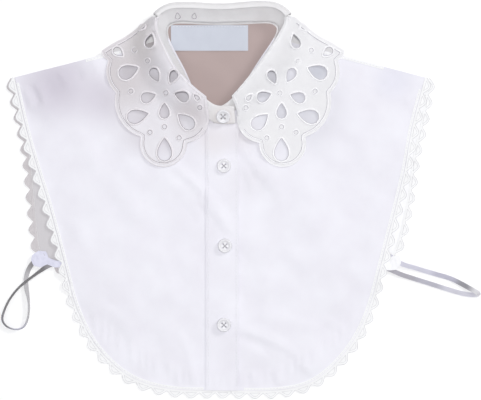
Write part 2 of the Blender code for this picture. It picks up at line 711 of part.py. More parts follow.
def leaf_height(fold, roll):
    """The under side of a leaf: over the fold, down onto the front, and over the shoulder."""
    def under(points):
        points = np.atleast_2d(points)
        far, place = nearest(points, fold)
        rows = np.arange(len(fold))
        crest = np.interp(place, rows, fold[:, 2]) + LEAF_OVER_STAND
        far[inside(points, FOLD_LINE[:, :2])] = 0
        drop = shoulder_drop(points)
        on_cloth = front_top(points) + PLACKET_RISE * beside_placket(points)
        past = ease((-drop - PAST_SHOULDER) / PAST_SHOULDER_RUN)
        rest = on_cloth * (1 - past) + FALL_WALL * past + GAP
        bend = 0.5 * (1 + np.cos(math.pi * np.clip(far / LEAF_BEND, 0, 1)))
        height = rest + (crest - rest) * bend
        edge, _ = nearest(points, roll)
        rounding = np.sqrt(1 - (1 - np.clip(edge / LEAF_ROLL_WIDTH, 0, 1)) ** 2)
        near_crest = np.sqrt(1 - np.clip((far - CREST_START) / CREST_RUN, 0, 1) ** 2)
        rounding = np.maximum(rounding, near_crest)
        return rest + (height - rest) * rounding
    return under


def drop_outline(drop):
    """A closed drop, rounded at one end and pointed at the other."""
    facing = math.radians(drop.facing)
    cosine, sine = math.cos(facing), math.sin(facing)
    points = []
    for k in range(DROP_POINTS):
        turn = 2 * math.pi * k / DROP_POINTS
        along = 0.5 * drop.length * math.cos(turn)
        across = DROP_FULLNESS * drop.width * math.sin(turn) * math.sin(turn / 2)
        points.append((drop.x + along * cosine - across * sine,
                       drop.y + along * sine + across * cosine))
    return np.array(points)


def leaf_outline(fold, roll, outer):
    """Roll line, lobes, then back up the fold, lipped over the stand."""
    lip = np.array(fold)[:, :2]
    tangent = np.gradient(lip, axis=0)
    normal = np.column_stack([-tangent[:, 1], tangent[:, 0]])
    normal /= np.linalg.norm(normal, axis=1)[:, None]
    if np.sum(normal * (NECK_MIDDLE - lip)) < 0:
        normal = -normal
    lip = lip + normal * LEAF_LIP
    end = even_line([lip[-1], roll[0]], LEAF_END_STEP)[1:-1]
    return np.vstack([even_line(roll, LEAF_MESH)[:-1], outer, lip, end])


def crest_points(fold, roll, outline, cuts):
    """Extra points along the bend at the fold and the roll at the shoulder."""
    rows = []
    lines = ((np.array(fold)[:, :2], FOLD_OFFSETS), (even_line(roll, LEAF_MESH), ROLL_OFFSETS))
    for line, offsets in lines:
        tangent = np.gradient(line, axis=0)
        normal = np.column_stack([-tangent[:, 1], tangent[:, 0]])
        normal /= np.linalg.norm(normal, axis=1)[:, None]
        for offset in offsets:
            rows += list(line + normal * offset) + list(line - normal * offset)
    points = np.array(rows)
    keep = inside(points, outline)
    for loop in [outline] + cuts:
        keep &= nearest(points, closed(loop))[0] > CUT_CLEARANCE
    for cut in cuts:
        keep &= ~inside(points, cut)
    return points[keep]


def make_leaves():
    outer = []
    for row, after in zip(LEAF_LOBES, LEAF_LOBES[1:]):
        outer += arc((row.notch_x, row.notch_y), (after.notch_x, after.notch_y), row.rise, LOBE_STEP)
    outer.append(np.array([LEAF_LOBES[-1].notch_x, LEAF_LOBES[-1].notch_y]))
    outer = np.array(outer)
    fold = stand_part(FOLD_LINE, 3, BACK_FIRST_ROW)
    under = leaf_height(fold, ROLL_RIGHT)
    cuts = [drop_outline(drop) for drop in DROPS]
    outline = leaf_outline(fold, ROLL_RIGHT, outer)
    make_sheet("collar_leaf_right", outline, under, lambda p: under(p) + WALL, WHITE,
               holes=cuts, spacing=LEAF_MESH, extra=crest_points(fold, ROLL_RIGHT, outline, cuts))
    fold_left = stand_part(FOLD_LINE, BACK_LAST_ROW, 19)[::-1]
    under_left = leaf_height(fold_left, ROLL_LEFT)
    cuts_left = [mirrored(cut) for cut in cuts]
    outline = leaf_outline(fold_left, ROLL_LEFT, mirrored(outer))
    make_sheet("collar_leaf_left", outline, under_left, lambda p: under_left(p) + WALL, WHITE,
               holes=cuts_left, spacing=LEAF_MESH,
               extra=crest_points(fold_left, ROLL_LEFT, outline, cuts_left))


def make_fall():
    """The middle of the turned-down collar, over the stand and down under the back."""
    fold = FALL_FOLD
    count = len(fold)
    tangent = np.gradient(fold[:, :2], axis=0)
    out = np.column_stack([-tangent[:, 1], tangent[:, 0]])
    out /= np.linalg.norm(out, axis=1)[:, None]
    marks = np.linspace(0, len(FALL_EDGE) - 1, count).round().astype(int)
    ends = FALL_EDGE[marks]
    crest = fold[:, 2] + LEAF_OVER_STAND
    outer, inner = [], []
    for row in FALL_ROWS:
        outer.append(np.column_stack([fold[:, :2] + out * row.reach, crest * row.rise
                                      + FALL_WALL * row.over]))
        inner.append(np.column_stack([fold[:, :2] + out * row.inner_reach,
                                      crest * row.inner_rise + FALL_WALL * row.inner_over]))
    ground, lining = outer[-1], inner[-1]
    for k in range(1, FALL_FLAT_ROWS + 1):
        share = k / FALL_FLAT_ROWS
        outer.append(np.column_stack([ground[:, :2] * (1 - share) + ends * share,
                                      np.zeros(count)]))
        inner.append(np.column_stack([lining[:, :2] * (1 - share) + ends * share,
                                      np.full(count, FALL_WALL)]))
    outer, inner = np.array(outer), np.array(inner)
    make_shell("collar_fall_back", inner, outer, WHITE)


def make_label():
    lower = even_line([(LABEL_X0, LABEL_Y0), (LABEL_X1, LABEL_Y0)], LABEL_STEP)
    upper = even_line([(LABEL_X1, LABEL_Y1), (LABEL_X0, LABEL_Y1)], LABEL_STEP)

    def under(at):
        return back_top(at) + GAP

    make_sheet("label", np.vstack([lower, upper]), under, lambda p: under(p) + LABEL_WALL, BLUISH,
               spacing=LABEL_MESH)


def ring(radius, count, x=0.0, y=0.0):
    turns = [2 * math.pi * k / count for k in range(count)]
    return np.array([(x + radius * math.cos(t), y + radius * math.sin(t)) for t in turns])


def button_top(points):
    """A raised rim round a shallow dish."""
    far = np.linalg.norm(points, axis=1)
    edge = np.clip((BUTTON_RADIUS - far) / BUTTON_ROUNDING, 0, 1)
    crown = BUTTON_EDGE + (BUTTON_THICKNESS - BUTTON_EDGE) * np.sqrt(1 - (1 - edge) ** 2)
    return crown - BUTTON_DISH * ease((BUTTON_RADIUS - BUTTON_RIM - far) / BUTTON_DISH_RUN)


def make_button(name, location, rotation):
    holes = []
    for x in (-BUTTON_HOLE_OFFSET, BUTTON_HOLE_OFFSET):
        for y in (-BUTTON_HOLE_OFFSET, BUTTON_HOLE_OFFSET):
            holes.append(ring(BUTTON_HOLE_RADIUS, BUTTON_HOLE_SIDES, x, y))
    rings = [ring(BUTTON_RADIUS - inset, count) for inset, count in BUTTON_RINGS]
    extra = np.vstack(rings + [(0.0, 0.0)])
    piece = make_sheet(name, ring(BUTTON_RADIUS, BUTTON_SIDES), lambda p: np.zeros(len(p)),
                       button_top, GLOSSY, holes=holes, spacing=NO_FIELD, extra=extra,
                       roughness=GLOSS)
    piece.location = Vector(location) * MM
    piece.rotation_euler = rotation
    return piece


def make_buttons(stand_outer):
    first = STAND_PER_SPAN
    low, high = stand_outer[0, first], stand_outer[-1, first]
    slope = math.atan2(high[2] - low[2], high[1] - low[1])
    seat = low + (high - low) * STAND_BUTTON_UP
    normal = np.array([0.0, -math.sin(slope), math.cos(slope)])
    seat = seat + normal * STAND_BUTTON_GAP
    make_button("button_1", (STAND_BUTTON_X, seat[1], seat[2]), (slope, 0.0, 0.0))
    for number, spot in enumerate(PLACKET_BUTTONS, start=2):
        patch = np.vstack([ring(BUTTON_RADIUS, 12, spot.x, spot.y), [(spot.x, spot.y)]])
        height = placket_top(patch).max() + GAP
        make_button("button_%d" % number, (spot.x, spot.y, height), (0.0, 0.0, 0.0))


def make_loop(name, route):
    """A flat elastic band swept along its route."""
    line = even_line(smooth_line(route, 8), LOOP_STEP)
    points, lean = line[:, :3], np.radians(line[:, 3:])
    tangent = np.gradient(points, axis=0)
    side = np.column_stack([-tangent[:, 1], tangent[:, 0], np.zeros(len(points))])
    lengths = np.linalg.norm(side, axis=1)
    side /= np.maximum(lengths, 1e-6)[:, None]
    rise = np.cross(tangent, side)
    rise /= np.linalg.norm(rise, axis=1)[:, None]
    side, rise = (side * np.cos(lean) + rise * np.sin(lean),
                  rise * np.cos(lean) - side * np.sin(lean))
    half, thick = LOOP_WIDTH / 2, LOOP_WALL / 2
    low = np.array([points - side * half - rise * thick, points + side * half - rise * thick])
    high = np.array([points - side * half + rise * thick, points + side * half + rise * thick])
    make_shell(name, low, high, WHITE)


def main():
    clear_scene()
    make_panels()
    make_placket()
    make_trims()
    stand_outer = make_stand()
    make_fall()
    make_leaves()
    make_label()
    make_buttons(stand_outer)
    make_loop("loop_right", LOOP_RIGHT)
    make_loop("loop_left", LOOP_LEFT)


main()
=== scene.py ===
import math

import bmesh
import bpy
import numpy as np
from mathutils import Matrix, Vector
from mathutils.bvhtree import BVHTree
from mathutils.geometry import delaunay_2d_cdt


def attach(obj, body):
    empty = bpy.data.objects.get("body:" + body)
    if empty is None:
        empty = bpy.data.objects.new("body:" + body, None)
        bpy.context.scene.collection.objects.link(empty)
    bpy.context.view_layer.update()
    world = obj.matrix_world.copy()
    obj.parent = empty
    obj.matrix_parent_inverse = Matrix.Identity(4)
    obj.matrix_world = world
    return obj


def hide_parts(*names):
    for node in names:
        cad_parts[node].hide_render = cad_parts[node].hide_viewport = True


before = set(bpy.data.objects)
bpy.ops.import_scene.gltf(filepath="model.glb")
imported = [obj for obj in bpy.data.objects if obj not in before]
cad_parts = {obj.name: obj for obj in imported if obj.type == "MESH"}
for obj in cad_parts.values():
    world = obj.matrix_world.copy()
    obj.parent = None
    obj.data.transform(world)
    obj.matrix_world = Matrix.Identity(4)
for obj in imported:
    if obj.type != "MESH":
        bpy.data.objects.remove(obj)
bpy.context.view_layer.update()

# The view
# A flat lay: the garment is photographed from straight above, with the collar at the
# top of the frame. Lengths in this file are millimetres, made metres by MM.
MM = 0.001
VIEW_MIDDLE_X = 17.4
VIEW_WIDTH = 418.5
VIEW_HEIGHT = 1500.0
SENSOR_WIDTH = 36.0

lens = bpy.data.cameras.new("view")
lens.sensor_width = SENSOR_WIDTH
lens.lens = SENSOR_WIDTH * VIEW_HEIGHT / VIEW_WIDTH
view = bpy.data.objects.new("view", lens)
view.location = Vector((VIEW_MIDDLE_X, 0.0, VIEW_HEIGHT)) * MM
bpy.context.collection.objects.link(view)
bpy.context.scene.camera = view
# A white garment on a white ground keeps its tones only in the plain sRGB view
bpy.context.scene.view_settings.view_transform = "Standard"


# Table and light
# A plain white table under a broad soft light overhead and a weaker one from the upper
# right, as in a small product studio, with an even white surround for pale shadows.
TABLE_SIZE = 6000.0
TABLE_DROP = 0.05
TABLE_WHITE = (0.98, 0.98, 0.98)
# Each light's place and size in metres, its watts and its colour; all face the garment
LIGHTS = {"key": ((1.94, 1.53, 1.74), 0.7, 24.0, (1.0, 1.0, 1.0)),
          "overhead": ((0.06, 0.05, 2.4), 0.35, 36.0, (1.0, 1.0, 1.0)),
          "fill": ((-1.5, -1.4, 2.2), 2.0, 7.0, (0.96, 0.97, 1.0))}
SURROUND = (0.955, 0.965, 1.0, 1.0)
SURROUND_STRENGTH = 0.26


class Strand:
    """A socket that Python's operators can build on."""

    def __init__(self, finish, socket):
        self.finish = finish
        self.socket = socket

    def maths(self, operation, first, second):
        return self.finish.node("ShaderNodeMath", {"operation": operation},
                                {0: first, 1: second})

    def __add__(self, other):
        return self.maths("ADD", self, other)

    def __radd__(self, other):
        return self.maths("ADD", other, self)

    def __mul__(self, other):
        return self.maths("MULTIPLY", self, other)

    def __rmul__(self, other):
        return self.maths("MULTIPLY", other, self)

    def sine(self):
        return self.maths("SINE", self, 0.0)


class Finish:
    """One material: a Principled shader, and what varies over the surface feeding it."""

    def __init__(self, name, colour, **constants):
        self.material = bpy.data.materials.new(name)
        self.material.use_nodes = True
        self.tree = self.material.node_tree
        self.shader = self.tree.nodes["Principled BSDF"]
        self.shader.inputs["Base Color"].default_value = (*colour, 1.0)
        for socket, value in constants.items():
            self.shader.inputs[socket.replace("_", " ")].default_value = value

    def node(self, kind, settings, sockets, out=0):
        """A node of any type, its settings first, then its sockets' values and links."""
        made = self.tree.nodes.new(kind)
        for key, value in settings.items():
            setattr(made, key, value)
        for key, value in sockets.items():
            self.feed(made.inputs[key], value)
        return Strand(self, made.outputs[out])

    def feed(self, socket, value):
        if isinstance(value, Strand):
            self.tree.links.new(value.socket, socket)
        else:
            socket.default_value = value

    def use(self, **links):
        for socket, strand in links.items():
            self.feed(self.shader.inputs[socket.replace("_", " ")], strand)

    def parts(self, spot):
        """The three numbers of a place."""
        split = self.node("ShaderNodeSeparateXYZ", {}, {0: spot}).socket.node
        return [Strand(self, part) for part in split.outputs]

    def place(self):
        """Where a point lies on the garment, in metres, whole and as three numbers."""
        spot = self.node("ShaderNodeTexCoord", {}, {}, out="Object")
        return spot, self.parts(spot)

    def noise(self, spot, size, detail=2.0):
        """Soft cloudy values from 0 to 1, with lumps of about the size in millimetres."""
        return self.node("ShaderNodeTexNoise", {},
                         {"Vector": spot, "Scale": 1.0 / (size * MM), "Detail": detail})

    def weave(self, x, y, pitch):
        """Crossing threads as a height, with the pitch in millimetres."""
        turns = 2 * math.pi / (pitch * MM)
        return (x * turns).sine() * (y * turns).sine()

    def rise(self, value, start, end):
        """Smoothly from 0 at the start to 1 at the end."""
        return self.node("ShaderNodeMapRange", {"interpolation_type": "SMOOTHSTEP"},
                         {"Value": value, "From Min": start, "From Max": end})

    def away(self, spot, place):
        """How far each point lies from a place given in millimetres."""
        return self.node("ShaderNodeVectorMath", {"operation": "DISTANCE"},
                         {0: spot, 1: tuple(c * MM for c in place)}, out=1)

    def blend(self, share, first, second):
        """From the first tone to the second, each a colour or a strand."""
        tones = [tone if isinstance(tone, Strand) else (*tone, 1.0) for tone in (first, second)]
        return self.node("ShaderNodeMix", {"data_type": "RGBA"},
                         {0: share, 6: tones[0], 7: tones[1]}, out=2)

    def bump(self, height, depth):
        """A relief in the surface, with its depth in millimetres."""
        return self.node("ShaderNodeBump", {},
                         {"Height": height, "Distance": depth * MM, "Strength": 1.0})


table_finish = Finish("table_white", TABLE_WHITE, Roughness=0.9)
grain_spot, _ = table_finish.place()
grain = table_finish.noise(grain_spot, 1.2)
table_finish.use(Normal=table_finish.bump(grain, 0.02))
table_half = TABLE_SIZE / 2 * MM
table_mesh = bpy.data.meshes.new("table")
table_mesh.from_pydata([(x * table_half, y * table_half, -TABLE_DROP * MM)
                        for x, y in ((-1, -1), (1, -1), (1, 1), (-1, 1))], [], [(0, 1, 2, 3)])
table_mesh.materials.append(table_finish.material)
table = bpy.data.objects.new("table", table_mesh)
bpy.context.collection.objects.link(table)

for name, (spot, size, watts, colour) in LIGHTS.items():
    lamp = bpy.data.lights.new(name, "AREA")
    lamp.shape = "DISK"
    lamp.size = size
    lamp.energy = watts
    lamp.color = colour
    holder = bpy.data.objects.new(name, lamp)
    holder.location = spot
    holder.rotation_euler = (-Vector(spot)).to_track_quat("-Z", "Y").to_euler()
    bpy.context.collection.objects.link(holder)
surround = bpy.data.worlds.new("surround")
surround.use_nodes = True
surround.node_tree.nodes["Background"].inputs[0].default_value = SURROUND
surround.node_tree.nodes["Background"].inputs[1].default_value = SURROUND_STRENGTH
bpy.context.scene.world = surround


# Elastic loops
# Two lengths of thin flat braided elastic, sewn to the front edge and to the corner of
# the back, so that an arm goes through each. They lie loose on the table.
LOOP_WIDTH = 4.0
LOOP_WALL = 0.8
LOOP_STEP = 1.3
# Routes by place and lean: the right loop stands on its edge where it curves
LOOP_RIGHT = (
    (-133.6, -52.6, 1.9, 0), (-141.0, -54.4, 1.9, 0), (-149.4, -57.0, 2.3, 15),
    (-156.2, -61.4, 3.2, 45), (-163.0, -66.4, 4.6, 60), (-169.4, -71.2, 4.5, 62),
    (-175.2, -76.2, 3.4, 64), (-180.2, -82.0, 2.3, 64), (-184.4, -88.4, 2.3, 64),
    (-188.0, -96.4, 2.3, 64), (-189.6, -104.0, 2.3, 60), (-185.8, -109.8, 2.2, 66),
    (-178.4, -112.4, 2.2, 74), (-171.6, -110.6, 2.2, 74), (-167.8, -104.2, 2.2, 74),
    (-166.4, -94.4, 2.2, 74), (-167.0, -85.4, 2.1, 64), (-168.6, -77.2, 1.4, 30),
    (-169.2, -70.2, 0.9, 12), (-168.4, -64.6, 1.1, 6), (-166.4, -59.6, 1.7, 0),
    (-163.0, -54.6, 2.0, 0), (-158.4, -50.2, 2.0, 0), (-153.4, -46.8, 2.0, 0))
LOOP_LEFT = (
    (138.0, -57.4, 1.9, 0), (147.0, -60.4, 1.9, 0), (156.2, -64.4, 1.6, 0),
    (165.0, -67.4, 0.9, 0), (174.6, -70.4, 0.6, 0), (185.4, -73.8, 0.6, 0),
    (196.2, -77.2, 0.6, 0), (207.4, -80.6, 0.6, 0), (215.6, -82.2, 0.6, 0),
    (221.4, -82.4, 0.8, 0), (224.4, -81.6, 1.9, 0), (221.6, -79.6, 2.9, 0),
    (216.2, -76.6, 2.4, 0), (209.4, -72.8, 1.2, 0), (199.8, -68.2, 0.6, 0),
    (188.4, -64.8, 0.6, 0), (177.4, -61.6, 0.7, 0), (167.6, -58.6, 1.4, 0),
    (159.8, -56.4, 2.0, 0), (152.8, -52.6, 2.0, 0), (146.6, -48.2, 2.0, 0))
# Painted light and shade along each white loop, where the band turns to or from the light: where a tone
# starts, in metres from the sewn end
ELASTIC_START = {"right": (0.40, 0.39, 0.42), "left": (0.50, 0.485, 0.54)}
ELASTIC_TONES = {
    "right": ((0.014, (0.22, 0.21, 0.22)), (0.070, (0.30, 0.29, 0.32)), (0.088, (0.58, 0.575, 0.68)),
              (0.102, (0.60, 0.59, 0.61)), (0.150, (0.36, 0.35, 0.36))),
    "left": ((0.030, (0.56, 0.55, 0.63)), (0.052, (0.74, 0.73, 0.82)), (0.084, (0.84, 0.83, 0.86)),
             (0.094, (0.36, 0.355, 0.39)), (0.108, (0.60, 0.59, 0.70)), (0.130, (0.74, 0.73, 0.84)))}
TONE_RUN = 0.010
RIB_PITCH = 0.9
PICK_PITCH = 0.7
# The band's section as shares of half its width and half its wall
BAND_SECTION = [(-1.0, -0.55), (-0.6, -1.0), (0.0, -1.0), (0.6, -1.0), (1.0, -0.55),
                (1.0, 0.55), (0.6, 1.0), (0.0, 0.9), (-0.6, 1.0), (-1.0, 0.55)]


def smooth_line(points, per_span):
    """A smooth curve through the points, with per_span pieces to each span."""
    points = np.asarray(points, dtype=float)
    padded = np.vstack([2 * points[0] - points[1], points, 2 * points[-1] - points[-2]])
    line = []
    for i in range(1, len(padded) - 2):
        before, start, end, after = padded[i - 1:i + 3]
        for k in range(per_span):
            t = k / per_span
            line.append(0.5 * (2 * start + (end - before) * t
                               + (2 * before - 5 * start + 4 * end - after) * t ** 2
                               + (3 * start - before - 3 * end + after) * t ** 3))
    line.append(points[-1])
    return np.array(line)


def even_line(points, step):
    """The same line with its points about one step apart."""
    points = np.asarray(points, dtype=float)
    along = np.concatenate([[0.0], np.cumsum(np.linalg.norm(np.diff(points, axis=0), axis=1))])
    count = max(1, round(along[-1] / step))
    marks = np.linspace(0.0, along[-1], count + 1)
    return np.column_stack([np.interp(marks, along, points[:, k]) for k in range(points.shape[1])])


def new_piece(name, verts, faces, material, slot, sharp=40.0, uvs=None):
    """A mesh from points in millimetres, riding on the garment."""
    mesh = bpy.data.meshes.new(name)
    mesh.from_pydata([tuple(float(c) * MM for c in point) for point in verts], [], faces)
    if uvs is not None:
        layer = mesh.uv_layers.new(name="length")
        for loop in mesh.loops:
            layer.data[loop.index].uv = uvs[loop.vertex_index]
    mesh.validate()
    shape = bmesh.new()
    shape.from_mesh(mesh)
    bmesh.ops.recalc_face_normals(shape, faces=shape.faces[:])
    shape.to_mesh(mesh)
    shape.free()
    mesh.shade_smooth()
    mesh.set_sharp_from_angle(angle=math.radians(sharp))
    mesh.materials.append(material)
    piece = bpy.data.objects.new(name, mesh)
    bpy.context.collection.objects.link(piece)
    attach(piece, "root")
    return piece


def swept(path, section, ring=False, lean=None):
    """Points and faces of a section of (across, up) pairs carried along a path."""
    sides = len(section(0))
    path = np.asarray(path, dtype=float)
    if ring:
        ahead, behind = np.roll(path, -1, axis=0), np.roll(path, 1, axis=0)
        tangent = ahead - behind
    else:
        tangent = np.gradient(path, axis=0)
    across = np.column_stack([-tangent[:, 1], tangent[:, 0], np.zeros(len(path))])
    across /= np.maximum(np.linalg.norm(across, axis=1), 1e-9)[:, None]
    up = np.cross(tangent, across)
    up /= np.linalg.norm(up, axis=1)[:, None]
    if lean is not None:
        turn = np.radians(lean)[:, None]
        across, up = (across * np.cos(turn) + up * np.sin(turn),
                      up * np.cos(turn) - across * np.sin(turn))
    verts, faces = [], []
    for k, point in enumerate(path):
        for a, b in section(k):
            verts.append(point + across[k] * a + up[k] * b)
    rows = len(path)
    for k in range(rows if ring else rows - 1):
        ahead = (k + 1) % rows
        for s in range(sides):
            after = (s + 1) % sides
            faces.append((k * sides + s, k * sides + after,
                          ahead * sides + after, ahead * sides + s))
    if not ring:
        faces.append(tuple(range(sides))[::-1])
        faces.append(tuple((rows - 1) * sides + s for s in range(sides)))
    return verts, faces


def elastic_finish(side):
    """Ribbed braid, with painted light and shade changing its tone along the length where it turns to the
    light.
    """
    elastic = Finish("flat_elastic_" + side, ELASTIC_START[side], Roughness=0.7, Sheen_Weight=0.25)
    along, across, _ = elastic.parts(elastic.node("ShaderNodeUVMap", {"uv_map": "length"}, {}))
    ribs = (across * (2 * math.pi * LOOP_WIDTH / RIB_PITCH)).sine()
    picks = (along * (2 * math.pi / (PICK_PITCH * MM))).sine()
    tone = ELASTIC_START[side]
    for start, colour in ELASTIC_TONES[side]:
        tone = elastic.blend(elastic.rise(along, start, start + TONE_RUN), tone, colour)
    elastic.use(Base_Color=tone, Normal=elastic.bump(ribs + picks * 0.5, 0.14))
    return elastic.material


for side, route in (("right", LOOP_RIGHT), ("left", LOOP_LEFT)):
    line = even_line(smooth_line(route, 8), LOOP_STEP)
    path = line[:, :3]
    steps = np.concatenate([[0.0], np.cumsum(np.linalg.norm(np.diff(path, axis=0), axis=1))])
    section = [(a * LOOP_WIDTH / 2, b * LOOP_WALL / 2) for a, b in BAND_SECTION]
    verts, faces = swept(path, lambda k: section, lean=line[:, 3])
    uvs = [(steps[k] * MM, (a / LOOP_WIDTH + 0.5)) for k in range(len(path)) for a, _ in section]
    loop = new_piece("elastic_loop_" + side, verts, faces, elastic_finish(side), "elastic", uvs=uvs)
    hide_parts("loop_" + side)
    tuple(path[0] * MM)
    [tuple(point * MM) for point in path]


# Back panel
# The plain cotton back, one layer with a turned edge, seen from its inner side in the
# neck and past the edges of the fronts. It lies on the table under everything else.
# Painted light and shade on one white cotton: its own near white on the wearer's left, a grey painted
# shade on the wearer's right, and a brown painted shadow in the hollow of the neck round its middle, in
# millimetres: full out to the start, gone after the run
BACK_LIGHT = (0.93, 0.93, 0.95)
BACK_SHADED = (0.62, 0.60, 0.62)
BACK_NECK_SHADOW = (0.45, 0.36, 0.347)
BACK_NECK_SHADOW_MIDDLE = (2.0, 118.0, 0.0)
BACK_NECK_SHADOW_START = 58.0
BACK_NECK_SHADOW_RUN = 26.0
# Its painted shade turns to its lit white between minus and plus this X
SHADE_TURN = 80.0
WEAVE_PITCH = 0.42
WEAVE_RELIEF = 0.05
BACK_MESH = 4.0
PANEL_EDGE_STEP = 2.6
CLOTH_WALL = 0.62
# No cloth goes below this height over the table
LOWEST = 0.02
CORNER_TURN = 34.0


def open_edges(triangles):
    """The edges that only one triangle has, each as its start and end."""
    edges = {}
    for a, b, c in triangles:
        for start, end in ((a, b), (b, c), (c, a)):
            if (end, start) in edges:
                del edges[(end, start)]
            else:
                edges[(start, end)] = True
    return list(edges)


def upper_side(*nodes):
    """The upward faces of the solids: points in millimetres, triangles and their outlines."""
    verts, triangles = [], []
    for node in nodes:
        shape = bmesh.new()
        shape.from_mesh(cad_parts[node].data)
        bmesh.ops.remove_doubles(shape, verts=shape.verts[:], dist=0.002 * MM)
        bmesh.ops.triangulate(shape, faces=shape.faces[:])
        shape.normal_update()
        first = len(verts)
        verts += [tuple(v.co / MM) for v in shape.verts]
        for face in shape.faces:
            if face.normal.z > 0.02:
                triangles.append([first + v.index for v in face.verts])
        shape.free()
    verts = np.array(verts)
    follow = dict(open_edges(triangles))
    loops = []
    while follow:
        start, at = follow.popitem()
        loop = [start]
        while at != start:
            loop.append(at)
            at = follow.pop(at)
        loops.append(verts[loop][:, :2])
    loops.sort(key=lambda loop: -abs(area(loop)))
    return verts, triangles, loops


def area(loop):
    """An outline's area, negative where it runs clockwise."""
    x, y = loop[:, 0], loop[:, 1]
    return 0.5 * float(np.sum(x * np.roll(y, -1) - np.roll(x, -1) * y))


def rounded(loop, step):
    """An outline redrawn as smooth curves between its true corners."""
    ahead = np.roll(loop, -1, axis=0) - loop
    behind = loop - np.roll(loop, 1, axis=0)
    cosine = np.sum(ahead * behind, axis=1) / (np.linalg.norm(ahead, axis=1)
                                               * np.linalg.norm(behind, axis=1))
    corners = np.flatnonzero(cosine < math.cos(math.radians(CORNER_TURN)))
    if len(corners) < 2:
        start = corners[0] if len(corners) else 0
        around = np.vstack([np.roll(loop, -start, axis=0), loop[start]])
        if len(corners):
            return even_line(smooth_line(around, 6), step)[:-1]
        wide = np.vstack([around[-3:-1], around, around[1:3]])
        fine = smooth_line(wide, 6)[12:-12]
        return even_line(fine, step)[:-1]
    pieces = []
    for first, last in zip(corners, np.append(corners[1:], corners[0] + len(loop))):
        stretch = loop[np.arange(first, last + 1) % len(loop)]
        pieces.append(even_line(smooth_line(stretch, 6), step)[:-1])
    return np.vstack(pieces)


def inside(points, polygon):
    """Which plan points lie inside a closed polygon."""
    result = np.zeros(len(points), dtype=bool)
    for (x0, y0), (x1, y1) in zip(polygon, np.roll(polygon, -1, axis=0)):
        if y0 != y1:
            crosses = (y0 > points[:, 1]) != (y1 > points[:, 1])
            result ^= crosses & (points[:, 0] < x0 + (points[:, 1] - y0) * (x1 - x0) / (y1 - y0))
    return result


def distance(points, line):
    """How far each plan point lies from a line."""
    best = np.full(len(points), 1e9)
    for start, end in zip(line[:-1], line[1:]):
        step = end - start
        along = np.clip(((points - start) @ step) / max(step @ step, 1e-12), 0, 1)
        best = np.minimum(best, np.linalg.norm(points - start - along[:, None] * step, axis=1))
    return best


def closed(loop):
    """An outline with its first point again at its end."""
    return np.vstack([loop, loop[:1]])


def ease(value):
    """Smoothly from 0 to 1, and flat beyond."""
    value = np.clip(value, 0, 1)
    return value * value * (3 - 2 * value)


def plan_mesh(loops, spacing):
    """Triangles over an outline less its holes, with an even field of inner points."""
    low, high = loops[0].min(axis=0), loops[0].max(axis=0)
    row = spacing * math.sqrt(3) / 2
    field = np.array([(low[0] + (spacing / 2 if j % 2 else 0.0) + i * spacing,
                       low[1] + (j + 0.5) * row)
                      for j in range(int((high[1] - low[1]) / row) + 1)
                      for i in range(int((high[0] - low[0]) / spacing) + 1)])
    keep = inside(field, loops[0])
    for loop in loops:
        keep &= distance(field, closed(loop)) > 0.5 * spacing
    for hole in loops[1:]:
        keep &= ~inside(field, hole)
    points = np.vstack(list(loops) + [field[keep]])
    edges, first = [], 0
    for loop in loops:
        edges += [(first + k, first + (k + 1) % len(loop)) for k in range(len(loop))]
        first += len(loop)
    made = delaunay_2d_cdt([Vector(point) for point in points], edges, [], 0, 1e-6)
    flat = np.array([tuple(point) for point in made[0]])
    corners = np.array([tuple(face) for face in made[2]])
    middles = flat[corners].mean(axis=1)
    wanted = inside(middles, loops[0])
    for hole in loops[1:]:
        wanted &= ~inside(middles, hole)
    corners = corners[wanted]
    sides = np.cross(flat[corners[:, 1]] - flat[corners[:, 0]],
                     flat[corners[:, 2]] - flat[corners[:, 0]])
    corners[sides < 0] = corners[sides < 0][:, ::-1]
    used, corners = np.unique(corners, return_inverse=True)
    return flat[used], corners.reshape(-1, 3)


def heights_on(verts, faces):
    """A function of plan points: how high a surface lies there, or at its nearest point."""
    tree = BVHTree.FromPolygons([Vector(point) for point in verts], faces)

    def height(points):
        found = []
        for x, y in points:
            hit = tree.ray_cast(Vector((x, y, 100.0)), Vector((0, 0, -1)))[0]
            if hit is None:
                hit = tree.find_nearest(Vector((x, y, 5.0)))[0]
            found.append(hit.z)
        return np.array(found)
    return height


def heights_over(*nodes):
    """A function of plan points: how high the solids' upper side lies there."""
    return heights_on(*upper_side(*nodes)[:2])


def settled(heights, corners, rounds):
    """Heights evened out over their neighbours, so that no facet of the solid shows."""
    count = len(heights)
    pairs = np.vstack([corners[:, [0, 1]], corners[:, [1, 2]], corners[:, [2, 0]]])
    pairs = np.vstack([pairs, pairs[:, ::-1]])
    share = np.bincount(pairs[:, 0], minlength=count)
    for _ in range(rounds):
        total = np.bincount(pairs[:, 0], weights=heights[pairs[:, 1]], minlength=count)
        heights = 0.4 * heights + 0.6 * total / share
    return heights


def shell(flat, top, low, corners):
    """Points and faces of a closed wall between two heights over one plan mesh."""
    count = len(flat)
    verts = np.vstack([np.column_stack([flat, top]), np.column_stack([flat, low])])
    faces = [tuple(int(k) for k in face) for face in corners]
    faces += [tuple(int(k) + count for k in face[::-1]) for face in corners]
    faces += [(int(a) + count, int(b) + count, int(b), int(a)) for a, b in open_edges(corners)]
    return verts, faces


def lay_cloth(name, node, material, slot, spacing, wall=CLOTH_WALL, rounds=8, relief=None,
              loops=None, sink=0.3):
    """A thin shell on a solid's upper side, with its own finer relief."""
    if loops is None:
        loops = [rounded(loop, PANEL_EDGE_STEP) for loop in upper_side(node)[2]]
    flat, corners = plan_mesh(loops, spacing)
    top = settled(heights_over(node)(flat), corners, rounds) - sink
    if relief is not None:
        top = top + relief(flat)
    low = np.maximum(top - wall, LOWEST)
    piece = new_piece(name, *shell(flat, top, low, corners), material, slot)
    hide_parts(node)
    return piece


